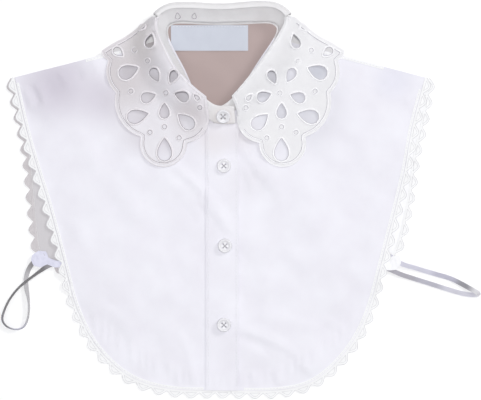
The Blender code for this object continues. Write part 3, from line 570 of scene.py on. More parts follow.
def creases(rows, points):
    """Soft ridges and troughs, each by its two ends, height and half-width."""
    height = np.zeros(len(points))
    for x0, y0, x1, y1, rise, width in rows:
        start, end = np.array([x0, y0]), np.array([x1, y1])
        step = end - start
        along = ((points - start) @ step) / (step @ step)
        off = (points - start) @ np.array([-step[1], step[0]]) / np.linalg.norm(step)
        bow = 0.06 * np.linalg.norm(step) * np.sin(math.pi * np.clip(along, 0, 1))
        fade = ease((along + 0.12) / 0.3) * ease((1.12 - along) / 0.3)
        height += rise * np.exp(-((off - bow) / width) ** 2) * fade
    return height


def hem_ridge(points, loop, inset, rise):
    """A turned and pressed edge: the cloth is a little thicker beside its outline."""
    far = distance(points, closed(loop))
    return rise * ease((inset - far) / 0.8)


BACK_CREASES = (
    (-172, 60, -150, 30, 0.5, 5.0), (-166, 10, -148, -10, 0.4, 4.0),
    (158, 20, 168, 50, 0.5, 5.0), (-30, 125, 10, 96, 0.7, 6.0),
    (-12, 128, 14, 108, -0.5, 4.0), (8, 126, 34, 140, 0.5, 6.0),
    (-120, 110, 110, 96, 0.6, 12.0))
inner_cotton = Finish("cotton_inner_side", BACK_SHADED, Roughness=0.85, Sheen_Weight=0.2,
                      Specular_IOR_Level=0.25)
back_spot, (back_x, back_y, _) = inner_cotton.place()
# Painted shade: grey towards the wearer's right, and a brown painted shadow round the middle of the neck
across = inner_cotton.rise(back_x, -SHADE_TURN * MM, SHADE_TURN * MM)
plain = inner_cotton.blend(across, BACK_SHADED, BACK_LIGHT)
neck_shadow_share = inner_cotton.rise(inner_cotton.away(back_spot, BACK_NECK_SHADOW_MIDDLE), BACK_NECK_SHADOW_START * MM,
                           (BACK_NECK_SHADOW_START + BACK_NECK_SHADOW_RUN) * MM)
back_threads = inner_cotton.weave(back_x, back_y, WEAVE_PITCH) * 0.5
back_height = back_threads + inner_cotton.noise(back_spot, 5.0)
inner_cotton.use(Base_Color=inner_cotton.blend(neck_shadow_share, BACK_NECK_SHADOW, plain),
                 Normal=inner_cotton.bump(back_height, WEAVE_RELIEF))
back = lay_cloth("back_cloth", "back_panel", inner_cotton.material, "cotton_inside", BACK_MESH,
                 relief=lambda points: creases(BACK_CREASES, points))


# Lace edging
# Narrow scalloped cotton lace, sewn flat along the armhole edges and the hem of each
# panel. Its points have a corded rim and an inner arc, and its heading is a flat tape.
LACE = (0.98, 0.98, 0.985)
LACE_DEEP = (0.87, 0.87, 0.88)
LACE_CORD = (0.84, 0.84, 0.85)
LACE_CORD_DEEP = (0.66, 0.66, 0.68)
# Painted shade: the back's lace and its cords take these darker tones towards the wearer's right
LACE_SHADE = (0.67, 0.64, 0.655)
LACE_SHADE_DEEP = (0.59, 0.56, 0.575)
LACE_MESH = 3.0
LACE_EDGE_STEP = 0.9
LACE_RIM = 0.28
LACE_ARC = 0.22
LACE_ARC_INSET = 1.7
LACE_WALL = 0.45
NET_PITCH = 1.3


def lace_finish(name, light, deep, shaded=None):
    """Close cotton net; where shaded tones are given, they take over on the wearer's right as painted
    shade.
    """
    finish = Finish(name, light, Roughness=0.75, Sheen_Weight=0.2)
    spot, (x, y, _) = finish.place()
    net = finish.weave(x, y, NET_PITCH)
    tone = finish.blend(0.5 + net * 0.5, deep, light)
    if shaded is not None:
        dim = finish.blend(0.5 + net * 0.5, *shaded)
        tone = finish.blend(finish.rise(x, -SHADE_TURN * MM, SHADE_TURN * MM), dim, tone)
    finish.use(Base_Color=tone, Normal=finish.bump(net + finish.noise(spot, 0.8), 0.1))
    return finish.material


def thread_tube(path, radius, ring=False, sides=6, flat=0.8):
    """A corded thread along a path, its stitches as small swellings."""
    def section(k):
        swell = 1.0 + 0.10 * (k % 2)
        return [(radius * swell * math.cos(2 * math.pi * s / sides),
                 radius * swell * flat * math.sin(2 * math.pi * s / sides)) for s in range(sides)]
    return swept(path, section, ring)


def on_cloth(line, height, lift):
    """A plan line laid at a lift over a surface."""
    return np.column_stack([line, height(line) + lift])


def joined(parts):
    """Several sets of points and faces as one."""
    verts, faces = [], []
    for part_verts, part_faces in parts:
        first = len(verts)
        verts += list(part_verts)
        faces += [tuple(k + first for k in face) for face in part_faces]
    return verts, faces


def offset_inward(loop, reach):
    """A closed outline moved towards its inside."""
    ahead = np.roll(loop, -1, axis=0) - np.roll(loop, 1, axis=0)
    inner = np.column_stack([-ahead[:, 1], ahead[:, 0]])
    inner /= np.maximum(np.linalg.norm(inner, axis=1), 1e-9)[:, None]
    return loop + inner * (reach if area(loop) > 0 else -reach)


def run_stretches(line, keep, step=0.9, least=6):
    """The stretches of a closed line where keep is true."""
    marks = np.flatnonzero(keep)
    runs = np.split(line[marks], np.flatnonzero(np.diff(marks) > 1) + 1)
    if len(runs) > 1 and marks[0] == 0 and marks[-1] == len(line) - 1:
        runs = [np.vstack([runs[-1], runs[0]])] + runs[1:-1]
    return [even_line(run, step) for run in runs if len(run) > least]


lace_white = lace_finish("scalloped_lace", LACE, LACE_DEEP)
# The back's lace and cords carry painted shade on the wearer's right
lace_back = lace_finish("scalloped_lace_back", LACE, LACE_DEEP, (LACE_SHADE_DEEP, LACE_SHADE))
cord_white = lace_finish("lace_cord", LACE_CORD, LACE_CORD_DEEP)
cord_back = lace_finish("lace_cord_back", LACE_CORD, LACE_CORD_DEEP, (LACE_SHADE_DEEP, LACE_SHADE))
for node, panel, finish, corded in (("trim_back", "back_panel", lace_back, cord_back),
                                    ("trim_front_right", "front_right", lace_white, cord_white),
                                    ("trim_front_left", "front_left", lace_white, cord_white)):
    outline = rounded(upper_side(node)[2][0], LACE_EDGE_STEP)
    panel_edge = closed(upper_side(panel)[2][0])
    lace = lay_cloth("lace_" + node[5:], node, finish, "lace", LACE_MESH, wall=LACE_WALL,
                     rounds=2, loops=[outline], sink=0.25)
    arcs = offset_inward(outline, LACE_ARC_INSET)
    within = inside(arcs, outline) & (distance(arcs, panel_edge) > 1.2)
    within &= distance(arcs, closed(outline)) > 0.85 * LACE_ARC_INSET
    over = heights_over(node)
    tubes = []
    for line, keep, least, radius in ((outline, distance(outline, panel_edge) > 1.0, 6, LACE_RIM),
                                      (arcs, within, 3, LACE_ARC)):
        for run in run_stretches(line, keep, least=least):
            tubes.append(thread_tube(on_cloth(run, over, -0.15), radius, sides=5))
    new_piece("lace_cord_" + node[5:], *joined(tubes), corded, "lace")
    flat_area = float(abs(area(outline)))


# Fronts
# Two cotton fronts, joined to the back at the shoulders. The free edge of the wearer's
# right front carries the placket, and the left front lies under it.
CENTRE_X = 2.2
WHITE = (0.88, 0.88, 0.935)
WHITE_DEEP = (0.79, 0.77, 0.835)
# Painted shade: soft darker patches at the shoulders, under both leaves and their holes, under the tab of
# the stand and beside the placket, each by its middle in X and Y, its radius and its shaded tone
FRONT_SHADES = (
    (-143.0, 101.0, 46.0, (0.58, 0.54, 0.62)), (-104.0, 88.0, 34.0, (0.66, 0.625, 0.70)),
    (18.0, 58.0, 24.0, (0.76, 0.73, 0.77)), (-6.0, 52.0, 22.0, (0.78, 0.75, 0.78)),
    (-52.0, 86.0, 62.0, (0.58, 0.55, 0.58)), (-58.0, 60.0, 34.0, (0.66, 0.63, 0.68)),
    (-79.6, 111.4, 17.0, (0.50, 0.47, 0.50)), (-60.0, 137.0, 16.0, (0.42, 0.38, 0.38)),
    (62.0, 84.0, 60.0, (0.62, 0.62, 0.67)), (84.0, 111.4, 16.0, (0.52, 0.53, 0.59)),
    (21.0, 17.0, 26.0, (0.795, 0.78, 0.835)), (150.0, 104.0, 26.0, (0.76, 0.755, 0.84)))
# Creases by both ends, height and half-width
FRONT_CREASES = (
    (-40, 30, 6, -22, 1.3, 4.6), (-34, 32, 14, -20, -1.0, 4.0), (-50, 20, -14, -18, 0.8, 5.0),
    (-30, 6, -6, -26, -0.8, 4.0), (-26, 2, 12, -32, 0.8, 4.0),
    (17, -112, 68, -136, 1.5, 4.6), (18, -120, 52, -140, -1.1, 4.0), (30, -102, 86, -114, 0.8, 6.5),
    (-172, 96, -164, 80, 1.0, 2.6), (-166, 99, -158, 84, -1.0, 2.6), (-160, 101, -152, 83, 1.0, 3.0),
    (-152, 106, -146, 92, -0.7, 2.6), (-142, 112, -132, 99, 0.9, 3.0), (-128, 117, -122, 104, -0.8, 3.0),
    (-112, 121, -106, 110, 0.7, 3.0), (170, 98, 160, 84, 0.9, 3.2), (160, 104, 150, 92, -0.7, 3.4),
    (148, 107, 137, 92, 0.9, 4.2), (126, 113, 118, 100, 0.7, 4.0),
    (-128, 60, -104, 28, 0.9, 8.0), (-100, 22, -72, -18, 1.0, 9.0), (-132, -14, -112, -54, 0.8, 7.0),
    (-86, -58, -60, -104, -0.9, 8.0), (-58, -40, -38, -96, 0.9, 7.0), (-104, -90, -70, -126, 1.0, 7.0),
    (-34, -118, -25, -158, 0.8, 4.0), (-22, -122, -18, -160, -0.8, 3.6), (-46, -140, -38, -160, 0.7, 3.4),
    (34, 30, 54, -8, 0.9, 7.0), (70, 12, 104, -30, 1.0, 9.0), (112, 60, 136, 18, 0.9, 8.0),
    (58, -40, 86, -88, 0.9, 8.0), (100, -50, 116, -98, -0.9, 7.0), (40, -60, 36, -102, 0.7, 7.0),
    (18, 46, 34, 20, 1.3, 4.6), (24, 58, 32, 34, -1.1, 4.0), (20, 30, 28, 6, 0.9, 4.0),
    (44, -148, 52, -162, 0.8, 3.4), (28, -150, 32, -163, 0.7, 3.0), (68, -142, 80, -152, 0.8, 3.6),
    (-70, 26, -92, 0, 0.8, 8.0), (126, -10, 132, -46, 0.9, 7.0), (90, -104, 112, -118, 0.8, 5.0))
HEM_INSET = 1.6
HEM_RISE = 0.28
FRONT_MESH = 2.5
# Slow waves of the lying cloth: waves per metre in X and Y, start and height
FRONT_WAVES = ((17.0, 9.0, 0.4, 0.34), (-13.0, 21.0, 2.1, 0.30), (24.0, -14.0, 4.0, 0.22),
               (9.0, 31.0, 1.2, 0.18), (-33.0, -8.0, 5.1, 0.14), (28.0, 25.0, 3.3, 0.12))
# No trough is deeper than this, so that the back never shows through
DEEPEST = 0.55
EDGE_CALM = 9.0
# Where the fronts' edges meet under the tab of the stand
MEETING_X = -8.7
MEETING_REACH = 2.2
MEETING_LOW = 58.0
MEETING_SHIFT = 0.55
# The lace's heading tape
HEADING_INSET = 0.4
HEADING_WIDTH = 2.1
HEADING_STEP = 2.0
# The tape keeps clear of the placket, the shoulder and the neck: places out from the centre
PLACKET_CLEAR = 15.5
SHOULDER_LINE = np.array([(40.0, 150.0), (182.0, 104.0)])
SHOULDER_CLEAR = 3.0
NECK_LINE = np.array([(0.0, 60.0), (52.0, 150.0)])
NECK_CLEAR = 24.0
# A patch of painted shade has its middle at this height
PATCH_HEIGHT = 4.0


def woven(name, colour, deep, cloud, pitch=WEAVE_PITCH, relief=WEAVE_RELIEF, shades=(),
          sheer=0.0, **constants):
    """Plain-woven cloth with slub, cloudy tones, soft patches of painted shade and some light let
    through.
    """
    finish = Finish(name, colour, **constants)
    spot, (x, y, _) = finish.place()
    slub = finish.noise(spot, 5.0)
    height = finish.weave(x, y, pitch) * 0.5 + slub * 0.8
    tone = finish.blend(finish.noise(spot, cloud, 3.0), deep, colour)
    # Each patch paints shade: the tone darkens towards its shade within its radius
    for middle_x, middle_y, radius, shade in shades:
        gap = finish.away(spot, (middle_x, middle_y, PATCH_HEIGHT))
        tone = finish.blend(finish.rise(gap, radius * MM, 0.1 * radius * MM) * 0.8, tone, shade)
    finish.use(Base_Color=tone, Normal=finish.bump(height, relief), Roughness=0.78 + slub * 0.14)
    if sheer:
        through = finish.node("ShaderNodeBsdfTranslucent", {}, {"Color": (*colour, 1.0)})
        body = Strand(finish, finish.shader.outputs[0])
        both = finish.node("ShaderNodeMixShader", {}, {0: sheer, 1: body, 2: through})
        finish.feed(finish.tree.nodes["Material Output"].inputs["Surface"], both)
    return finish.material


def lying_relief(points):
    """The fronts' creases, the small gathers along the hem, and the slow waves."""
    height = creases(FRONT_CREASES, points)
    x, y = points[:, 0], points[:, 1]
    to_hem = np.abs(y + 160.0 - 0.0042 * (x - CENTRE_X) ** 2)
    height += 0.5 * np.sin(0.78 * x + 1.6 * np.sin(0.19 * x)) * np.exp(-(to_hem / 7.0) ** 2)
    for along_x, along_y, start, rise in FRONT_WAVES:
        height += rise * np.sin(2 * math.pi * MM * (along_x * x + along_y * y) + start)
    return np.where(height > 0, height, DEEPEST * np.tanh(height / DEEPEST))


cotton = woven("cotton_white", WHITE, WHITE_DEEP, 24.0, shades=FRONT_SHADES, Sheen_Weight=0.3,
               Specular_IOR_Level=0.3)
heading = {}
for side, sign in (("right", -1), ("left", 1)):
    node = "front_" + side
    outline = rounded(upper_side(node)[2][0], PANEL_EDGE_STEP)
    meeting = (np.abs(outline[:, 0] - MEETING_X) < MEETING_REACH) & (outline[:, 1] > MEETING_LOW)
    outline[meeting, 0] -= MEETING_SHIFT * sign

    def front_relief(points):
        """The lying cloth is calmer at its edges, where the lace is sewn on."""
        calm = ease(distance(points, closed(outline)) / EDGE_CALM)
        return (lying_relief(points) * (0.35 + 0.65 * calm)
                + hem_ridge(points, outline, HEM_INSET, HEM_RISE))

    front = lay_cloth(node + "_cloth", node, cotton, "cotton_white", FRONT_MESH,
                      loops=[outline], relief=front_relief)
    lying = heights_on([v.co / MM for v in front.data.vertices],
                       [tuple(face.vertices) for face in front.data.polygons])
    line = offset_inward(outline, HEADING_INSET + HEADING_WIDTH / 2)
    outwards = np.column_stack([sign * (line[:, 0] - CENTRE_X), line[:, 1]])
    keep = outwards[:, 0] > PLACKET_CLEAR
    keep &= distance(outwards, SHOULDER_LINE) > SHOULDER_CLEAR
    keep &= distance(outwards, NECK_LINE) > NECK_CLEAR
    runs = [even_line(smooth_line(run[::4], 6), HEADING_STEP)
            for run in run_stretches(line, keep, step=HEADING_STEP)]
    half = HEADING_WIDTH / 2
    section = [(-half, -0.12), (half, -0.12), (half, 0.1), (0.0, 0.16), (-half, 0.1)]
    tapes = [swept(on_cloth(run, lying, 0.12), lambda k: section) for run in runs]
    new_piece("lace_heading_" + side, *joined(tapes), lace_white, "lace", sharp=30.0)
    heading[side] = (runs, lying)


# Hem corners
# The back's corners are turned over the sewn ends of the elastic, as small pleated tabs
# of the same cotton, tucked under the lace of the fronts.
CORNER_RIGHT = np.array([(-163.4, -48.0), (-158.6, -44.2), (-151.4, -44.6), (-149.4, -50.2),
                         (-143.0, -52.6), (-134.0, -53.2), (-133.4, -58.4), (-144.0, -58.6),
                         (-150.6, -55.8), (-156.0, -58.6), (-162.4, -56.8), (-164.6, -52.0)])
CORNER_LEFT = np.array([(137.4, -53.0), (145.0, -52.0), (149.6, -48.6), (155.8, -48.2),
                        (157.0, -54.6), (153.4, -60.6), (146.0, -61.2), (136.4, -59.6)])
CORNER_STEP = 1.6
CORNER_WALL = 0.5
# The tab on the wearer's right is a darker, bluish copy of the same white cotton: painted shade
corner_cotton = {
    "right": woven("cotton_corner_shaded", (0.78, 0.78, 0.90), (0.64, 0.64, 0.77), 5.0,
                   Sheen_Weight=0.3, Specular_IOR_Level=0.3),
    "left": woven("cotton_corner_white", (0.95, 0.95, 0.97), (0.90, 0.90, 0.92), 5.0,
                  Sheen_Weight=0.3, Specular_IOR_Level=0.3)}
for side, corner in (("right", CORNER_RIGHT), ("left", CORNER_LEFT)):
    around = even_line(closed(corner), CORNER_STEP)[:-1]
    flat, corners = plan_mesh([around], CORNER_STEP)
    ground = heights_over("back_panel", "trim_back", "loop_" + side)
    pleats = 0.3 * np.sin(1.5 * flat[:, 0] + 0.5 * flat[:, 1]) * ease(
        distance(flat, closed(around)) / 3.0)
    top = settled(ground(flat) + 0.75, corners, 5) + pleats + 0.3
    tab = new_piece("hem_corner_" + side, *shell(flat, top, top - CORNER_WALL, corners),
                    corner_cotton[side], "cotton_white")
    abs(area(around)) * 1.04 * MM * MM


# Placket
# The folded button band on the wearer's right front, double cotton with a stitched fold
# at its inner side and a pressed free edge.
PLACKET_WALL = 0.8
PLACKET_MESH = 2.4
# Its top end goes on under the tab of the stand
PLACKET_TAIL = 3.4
PLACKET_HEM_INSET = 1.2
PLACKET_HEM_RISE = 0.2
PLACKET_BUTTONS_X = 3.3
PLACKET_BUTTONS_Y = (29.6, -39.7, -108.2)
placket_outline = rounded(upper_side("placket")[2][0], PLACKET_MESH)
top_end = placket_outline[:, 1] > placket_outline[:, 1].max() - 1.5
placket_outline[top_end, 1] += PLACKET_TAIL


def placket_relief(points):
    """The front's creases cross the band, each button pulls it, and its left edge runs thin."""
    height = lying_relief(points) * 0.8
    for y in PLACKET_BUTTONS_Y:
        pull = np.exp(-((points[:, 1] - y) / 4.0) ** 2)
        height += 0.35 * pull * np.exp(-((points[:, 0] - PLACKET_BUTTONS_X) / 9.0) ** 2)
    taper = 1 - ease((points[:, 0] - placket_outline[:, 0].min()) / 2.4)
    ridge = hem_ridge(points, placket_outline, PLACKET_HEM_INSET, PLACKET_HEM_RISE)
    return height + ridge - 0.5 * taper


placket = lay_cloth("placket_cloth", "placket", cotton, "cotton_white", PLACKET_MESH,
                    wall=PLACKET_WALL, loops=[placket_outline], relief=placket_relief)


# Collar stand and the back of the fall
# A narrow interlined band standing round the neck, and behind it the middle of the
# collar, which rolls over the band's top edge and goes down under the back.
STAND_WHITE = (0.85, 0.845, 0.855)
STAND_DEEP = (0.75, 0.735, 0.745)
# Painted shade on the tab of the stand, under the fronts of the leaves: middle in X and Y, radius and
# shaded tone
STAND_SHADES = ((2.0, 73.0, 17.0, (0.66, 0.60, 0.58)),)
EDGE_HOLD = 0.6


def softened(name, node, material, ripple):
    """A solid's own form with its edges rounded and a light unevenness in the cloth."""
    shape = bmesh.new()
    shape.from_mesh(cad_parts[node].data)
    bmesh.ops.remove_doubles(shape, verts=shape.verts[:], dist=0.002 * MM)
    bmesh.ops.join_triangles(shape, faces=shape.faces[:], angle_face_threshold=0.6,
                             angle_shape_threshold=1.2)
    hold = shape.edges.layers.float.new("crease_edge")
    for seam in shape.edges:
        if len(seam.link_faces) == 2 and seam.calc_face_angle() > math.radians(50):
            seam[hold] = EDGE_HOLD
    mesh = bpy.data.meshes.new(name)
    shape.to_mesh(mesh)
    shape.free()
    piece = bpy.data.objects.new(name, mesh)
    bpy.context.collection.objects.link(piece)
    modifier = piece.modifiers.new("rounding", "SUBSURF")
    modifier.levels = 2
    modifier.render_levels = 2
    graph = bpy.context.evaluated_depsgraph_get()
    fine = bpy.data.meshes.new_from_object(piece.evaluated_get(graph))
    piece.modifiers.clear()
    piece.data = fine
    for vertex in fine.vertices:
        place = vertex.co / MM
        vertex.co += Vector(ripple(place)) * MM
        vertex.co.z = max(vertex.co.z, LOWEST * MM)
    fine.shade_smooth()
    fine.materials.clear()
    fine.materials.append(material)
    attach(piece, "root")
    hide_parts(node)
    return piece


band_cotton = woven("cotton_band", STAND_WHITE, STAND_DEEP, 10.0, shades=STAND_SHADES,
                    Sheen_Weight=0.25, Specular_IOR_Level=0.25)


def band_ripple(place):
    """The band bends a little in and out along the neck."""
    return (0.0, 0.25 * math.sin(place.x / 7.0) + 0.15 * math.sin(place.x / 2.9), 0.0)


stand = softened("stand_cloth", "collar_stand", band_cotton, band_ripple)


def fall_reach(place):
    """The fall's standing ends meet the leaves."""
    side = 1 if place.x > CENTRE_X else -1
    reach = float(ease((abs(place.x - CENTRE_X) - 46.0) / 10.0) * ease((place.z - 2.0) / 4.0))
    return (1.3 * side * reach, -1.0 * reach, 0.0)


fall = softened("fall_cloth", "collar_fall_back", band_cotton, fall_reach)


# Neck label
# A blank woven tape label, stitched along its top edge inside the back of the neck.
# The white tape is set darker and bluer than white: painted shade in the hollow of the neck
LABEL = (0.60, 0.63, 0.70)
LABEL_DEEP = (0.53, 0.555, 0.63)
LABEL_MESH = 2.5
LABEL_WALL = 0.35


def label_wave(points):
    """The tape waves a little below its stitched top edge."""
    return 0.2 * np.sin(points[:, 0] / 9.0) * ease((150 - points[:, 1]) / 18)


label_tape = woven("label_tape", LABEL, LABEL_DEEP, 12.0, pitch=0.3, relief=0.03,
                   Sheen_Weight=0.3)
label = lay_cloth("neck_label", "label", label_tape, "label_tape", LABEL_MESH, wall=LABEL_WALL,
                  sink=0.5, rounds=3, relief=label_wave)


# Collar leaves
# Two leaves of fine cotton, cut away inside worked drops. Every drop and the lobed
# outer edge is bound in satin stitch, with small worked rings between the drops.
LEAF_MESH = 2.6
LEAF_EDGE_STEP = 1.6
LEAF_CLOTH = {"cloud": 8.0, "pitch": 0.36, "relief": 0.07, "sheer": 0.14, "Sheen_Weight": 0.3,
              "Specular_IOR_Level": 0.35}
# Lit and shaded copies of one white ground: the wearer's left leaf in its own white, the wearer's right
# leaf a little darker as painted shade
LEAF_LIGHT = (0.97, 0.965, 0.98)
LEAF_LIGHT_DEEP = (0.90, 0.895, 0.92)
LEAF_SHADED = (0.95, 0.935, 0.98)
LEAF_SHADED_DEEP = (0.88, 0.855, 0.90)
# Painted shade: darker patches over the upper part of the wearer's right leaf, each by middle in X and Y,
# radius and shaded tone
LEAF_DIM = ((-86.0, 112.0, 54.0, (0.70, 0.655, 0.67)), (-62.0, 140.0, 30.0, (0.72, 0.68, 0.67)),
            (-24.0, 76.0, 30.0, (0.76, 0.71, 0.73)))
SATIN = (0.96, 0.96, 0.97)
SATIN_DEEP = (0.84, 0.83, 0.86)
# A painted shade copy of the satin, for the wearer's right leaf
SATIN_SHADED = (0.86, 0.83, 0.86)
SATIN_SHADED_DEEP = (0.72, 0.69, 0.72)
EDGE_INSET = 0.35
EDGE_RADIUS = 0.42
BORDER_INSET = 2.9
BORDER_RADIUS = 0.5
# The rows of the outer edge keep clear of the stand and of the line where the leaf rolls over
STAND_CLEAR = 5.0
ROLL_SLOPE = 0.657
ROLL_LINE = 197.5
# The lip is the part of the outline this near to the stand
LIP_REACH = 2.2
FOLD_ROW_INSET = 2.0
FOLD_ROW_RADIUS = 0.4
DROP_RIM = 0.8
RING_RIM = 0.5
RING_RADIUS = 2.5
RINGS = ((-77.7, 94.4), (-48.6, 63.5), (-61.2, 58.7), (-35.8, 53.9), (-62.9, 120.1),
         (-74.4, 129.9), (-17.6, 79.6), (-47.0, 92.6))
# Drops worked where the leaf rolls over: middle, length, width and facing in degrees
ROLLED_DROPS = ((-20.6, 88.6, 8.0, 5.4, 132.0), (-68.6, 149.0, 9.0, 5.6, 210.0))
# Drops worked on the inner side of the band, behind the neck
BAND_DROPS = ((-37.0, 159.4, 6.4, 5.6, 100.0), (-22.6, 159.4, 6.0, 5.2, 80.0))
BAND_RIM = 0.45


def satin_finish(name, colour, deep):
    """Stitched floss, a little uneven in its tone."""
    finish = Finish(name, colour, Roughness=0.45, Sheen_Weight=0.4)
    spot, _ = finish.place()
    floss = finish.noise(spot, 0.6)
    finish.use(Base_Color=finish.blend(floss, deep, colour), Normal=finish.bump(floss, 0.1))
    return finish.material


# Painted shade on the wearer's right leaf; the wearer's left leaf keeps its own white
leaf_cotton = {
    "right": woven("leaf_ground_shaded", LEAF_SHADED, LEAF_SHADED_DEEP, shades=LEAF_DIM,
                   **LEAF_CLOTH),
    "left": woven("leaf_ground", LEAF_LIGHT, LEAF_LIGHT_DEEP, **LEAF_CLOTH)}
# The satin of the wearer's right leaf carries painted shade
satin = {"right": satin_finish("satin_stitch_shaded", SATIN_SHADED, SATIN_SHADED_DEEP),
         "left": satin_finish("satin_stitch", SATIN, SATIN_DEEP)}
# A dark line of painted shadow along the inner side of every worked edge, darker still as painted shade
# on the wearer's right
shadow_line_finish = {
    "right": satin_finish("painted_shadow_line_shaded", (0.38, 0.36, 0.39), (0.28, 0.26, 0.29)),
    "left": satin_finish("painted_shadow_line", (0.52, 0.51, 0.55), (0.42, 0.41, 0.45))}
INNER_EDGE_GAP = 0.1
INNER_EDGE_RADIUS = 0.26
stand_plan = upper_side("collar_stand")[0][:, :2]


def near_stand(points):
    """How far each plan point lies from the stand."""
    return np.min(np.linalg.norm(points[:, None, :] - stand_plan[None, :, :], axis=2), axis=1)


def drop_line(x, y, length, width, facing):
    """A closed drop, rounded at one end and pointed at the other."""
    turns = np.linspace(0, 2 * math.pi, 33)[:-1]
    along = 0.5 * length * np.cos(turns)
    across = 0.62 * width * np.sin(turns) * np.sin(turns / 2)
    angle = math.radians(facing)
    return np.column_stack([x + along * math.cos(angle) - across * math.sin(angle),
                            y + along * math.sin(angle) + across * math.cos(angle)])


def circle(points):
    """Points round a circle of radius 1."""
    turns = np.linspace(0, 2 * math.pi, points + 1)[:-1]
    return np.column_stack([np.cos(turns), np.sin(turns)])


for side in ("right", "left"):
    node = "collar_leaf_" + side
    loops = [rounded(loop, LEAF_EDGE_STEP) for loop in upper_side(node)[2]]
    drops = [even_line(closed(loop), 0.8)[:-1] for loop in loops[1:]]
    outline = loops[0]
    lip = outline[near_stand(outline) < LIP_REACH]

    def lip_roll(points):
        """The leaf turns down over the top edge of the stand."""
        gap = np.min(np.linalg.norm(points[:, None, :] - lip[None, :, :], axis=2), axis=1)
        return -1.0 * (1 - ease(gap / 1.6))

    leaf = lay_cloth(node + "_cloth", node, leaf_cotton[side], "cutwork", LEAF_MESH, rounds=3,
                     loops=[outline] + drops, relief=lip_roll)
    over = heights_over(node)
    rims = [(offset_inward(loop, -0.75), DROP_RIM) for loop in drops]
    for x, y in RINGS:
        middle = np.array([x if side == "right" else 2 * CENTRE_X - x, y])
        rims.append((middle + RING_RADIUS * circle(18), RING_RIM))
    for drop in ROLLED_DROPS:
        line = drop_line(*drop)
        if side == "left":
            line[:, 0] = 2 * CENTRE_X - line[:, 0]
        rims.append((line, DROP_RIM))
    satin_tubes, shadow_line_tubes = [], []
    for line, radius in rims:
        satin_tubes.append(thread_tube(on_cloth(line, over, -0.25), radius, ring=True, sides=8))
        # Painted shadow: a dark line just inside each rim
        line = offset_inward(line, radius + INNER_EDGE_GAP)
        shadow_line_tubes.append(thread_tube(on_cloth(line, over, -0.2), INNER_EDGE_RADIUS, ring=True,
                                      sides=5))
    for inset, radius in ((EDGE_INSET, EDGE_RADIUS), (BORDER_INSET, BORDER_RADIUS)):
        border = offset_inward(outline, inset)
        rolled = np.abs(border[:, 0] - CENTRE_X) * ROLL_SLOPE + border[:, 1]
        keep = (near_stand(border) > STAND_CLEAR + inset) & (rolled < ROLL_LINE)
        for run in run_stretches(border, keep):
            satin_tubes.append(thread_tube(on_cloth(run, over, -0.25), radius, sides=8))
    # Painted shadow: a dark line just inside the border cord
    for run in run_stretches(offset_inward(outline, BORDER_INSET + BORDER_RADIUS + 0.1), keep):
        shadow_line_tubes.append(thread_tube(on_cloth(run, over, -0.22), INNER_EDGE_RADIUS, sides=5))
    if side == "right":
        on_band = heights_over("collar_stand")
        for drop in BAND_DROPS:
            line = drop_line(*drop)
            edge = offset_inward(line, BAND_RIM + INNER_EDGE_GAP)
            satin_tubes.append(thread_tube(on_cloth(line, on_band, 0.1), BAND_RIM, ring=True,
                                           sides=8))
            shadow_line_tubes.append(thread_tube(on_cloth(edge, on_band, 0.25), INNER_EDGE_RADIUS,
                                          ring=True, sides=5))
    border = offset_inward(outline, FOLD_ROW_INSET)
    for run in run_stretches(border, near_stand(border) < LIP_REACH + FOLD_ROW_INSET):
        satin_tubes.append(thread_tube(on_cloth(run, over, -0.2), FOLD_ROW_RADIUS, sides=6))
    new_piece("embroidery_" + side, *joined(satin_tubes), satin[side], "cutwork", sharp=60.0)
    new_piece("shadow_lines_" + side, *joined(shadow_line_tubes), shadow_line_finish[side], "cutwork", sharp=60.0)


# Stitching
# White lockstitch: a row on the heading tape of each front, two rows down the placket and
# one along the top of the label, each stitch a short separate capsule of thread.
STITCH_LENGTH = 2.0
STITCH_PITCH = 2.8
STITCH_RADIUS = 0.2
thread = satin_finish("sewing_thread", (0.84, 0.84, 0.87), (0.70, 0.70, 0.74))


def stitch_row(line, height):
    """Separate stitches along a plan line."""
    line = even_line(line, STITCH_PITCH)
    parts = []
    for start, end in zip(line[:-1], line[1:]):
        step = (end - start) / np.linalg.norm(end - start)
        ends = np.array([start, start + step * 0.35, start + step * (STITCH_LENGTH - 0.35),
                         start + step * STITCH_LENGTH])
        z = height(ends) + np.array([-0.2, 0.05, 0.05, -0.2])
        sizes = (0.5, 1.0, 1.0, 0.5)

        def section(k):
            return [(STITCH_RADIUS * sizes[k] * math.cos(2 * math.pi * s / 5),
                     STITCH_RADIUS * sizes[k] * math.sin(2 * math.pi * s / 5)) for s in range(5)]
        parts.append(swept(np.column_stack([ends, z]), section))
    return parts


for side, (runs, lying) in heading.items():
    rows = []
    for run in runs:
        rows += stitch_row(run, lambda points: lying(points) + 0.22)
    new_piece("heading_stitches_" + side, *joined(rows), thread, "cotton_white")

over = heights_over("placket")
top_y, hem_y = placket_outline[:, 1].max(), placket_outline[:, 1].min()
rows = []
for x in (placket_outline[:, 0].min() + 1.8, placket_outline[:, 0].max() - 2.0):
    rows += stitch_row(np.array([(x, top_y - 2), (x, hem_y + 3)]),
                       lambda points: over(points) - 0.15 + placket_relief(points))
new_piece("placket_stitches", *joined(rows), thread, "cotton_white")

over = heights_over("label")
label_edge = upper_side("label")[2][0]
label_top = label_edge[:, 1].max() - 1.3
row = np.array([(label_edge[:, 0].min() + 1.5, label_top),
                (label_edge[:, 0].max() - 1.5, label_top)])
rows = stitch_row(row, lambda points: over(points) - 0.3)
new_piece("label_stitches", *joined(rows), thread, "cotton_white")


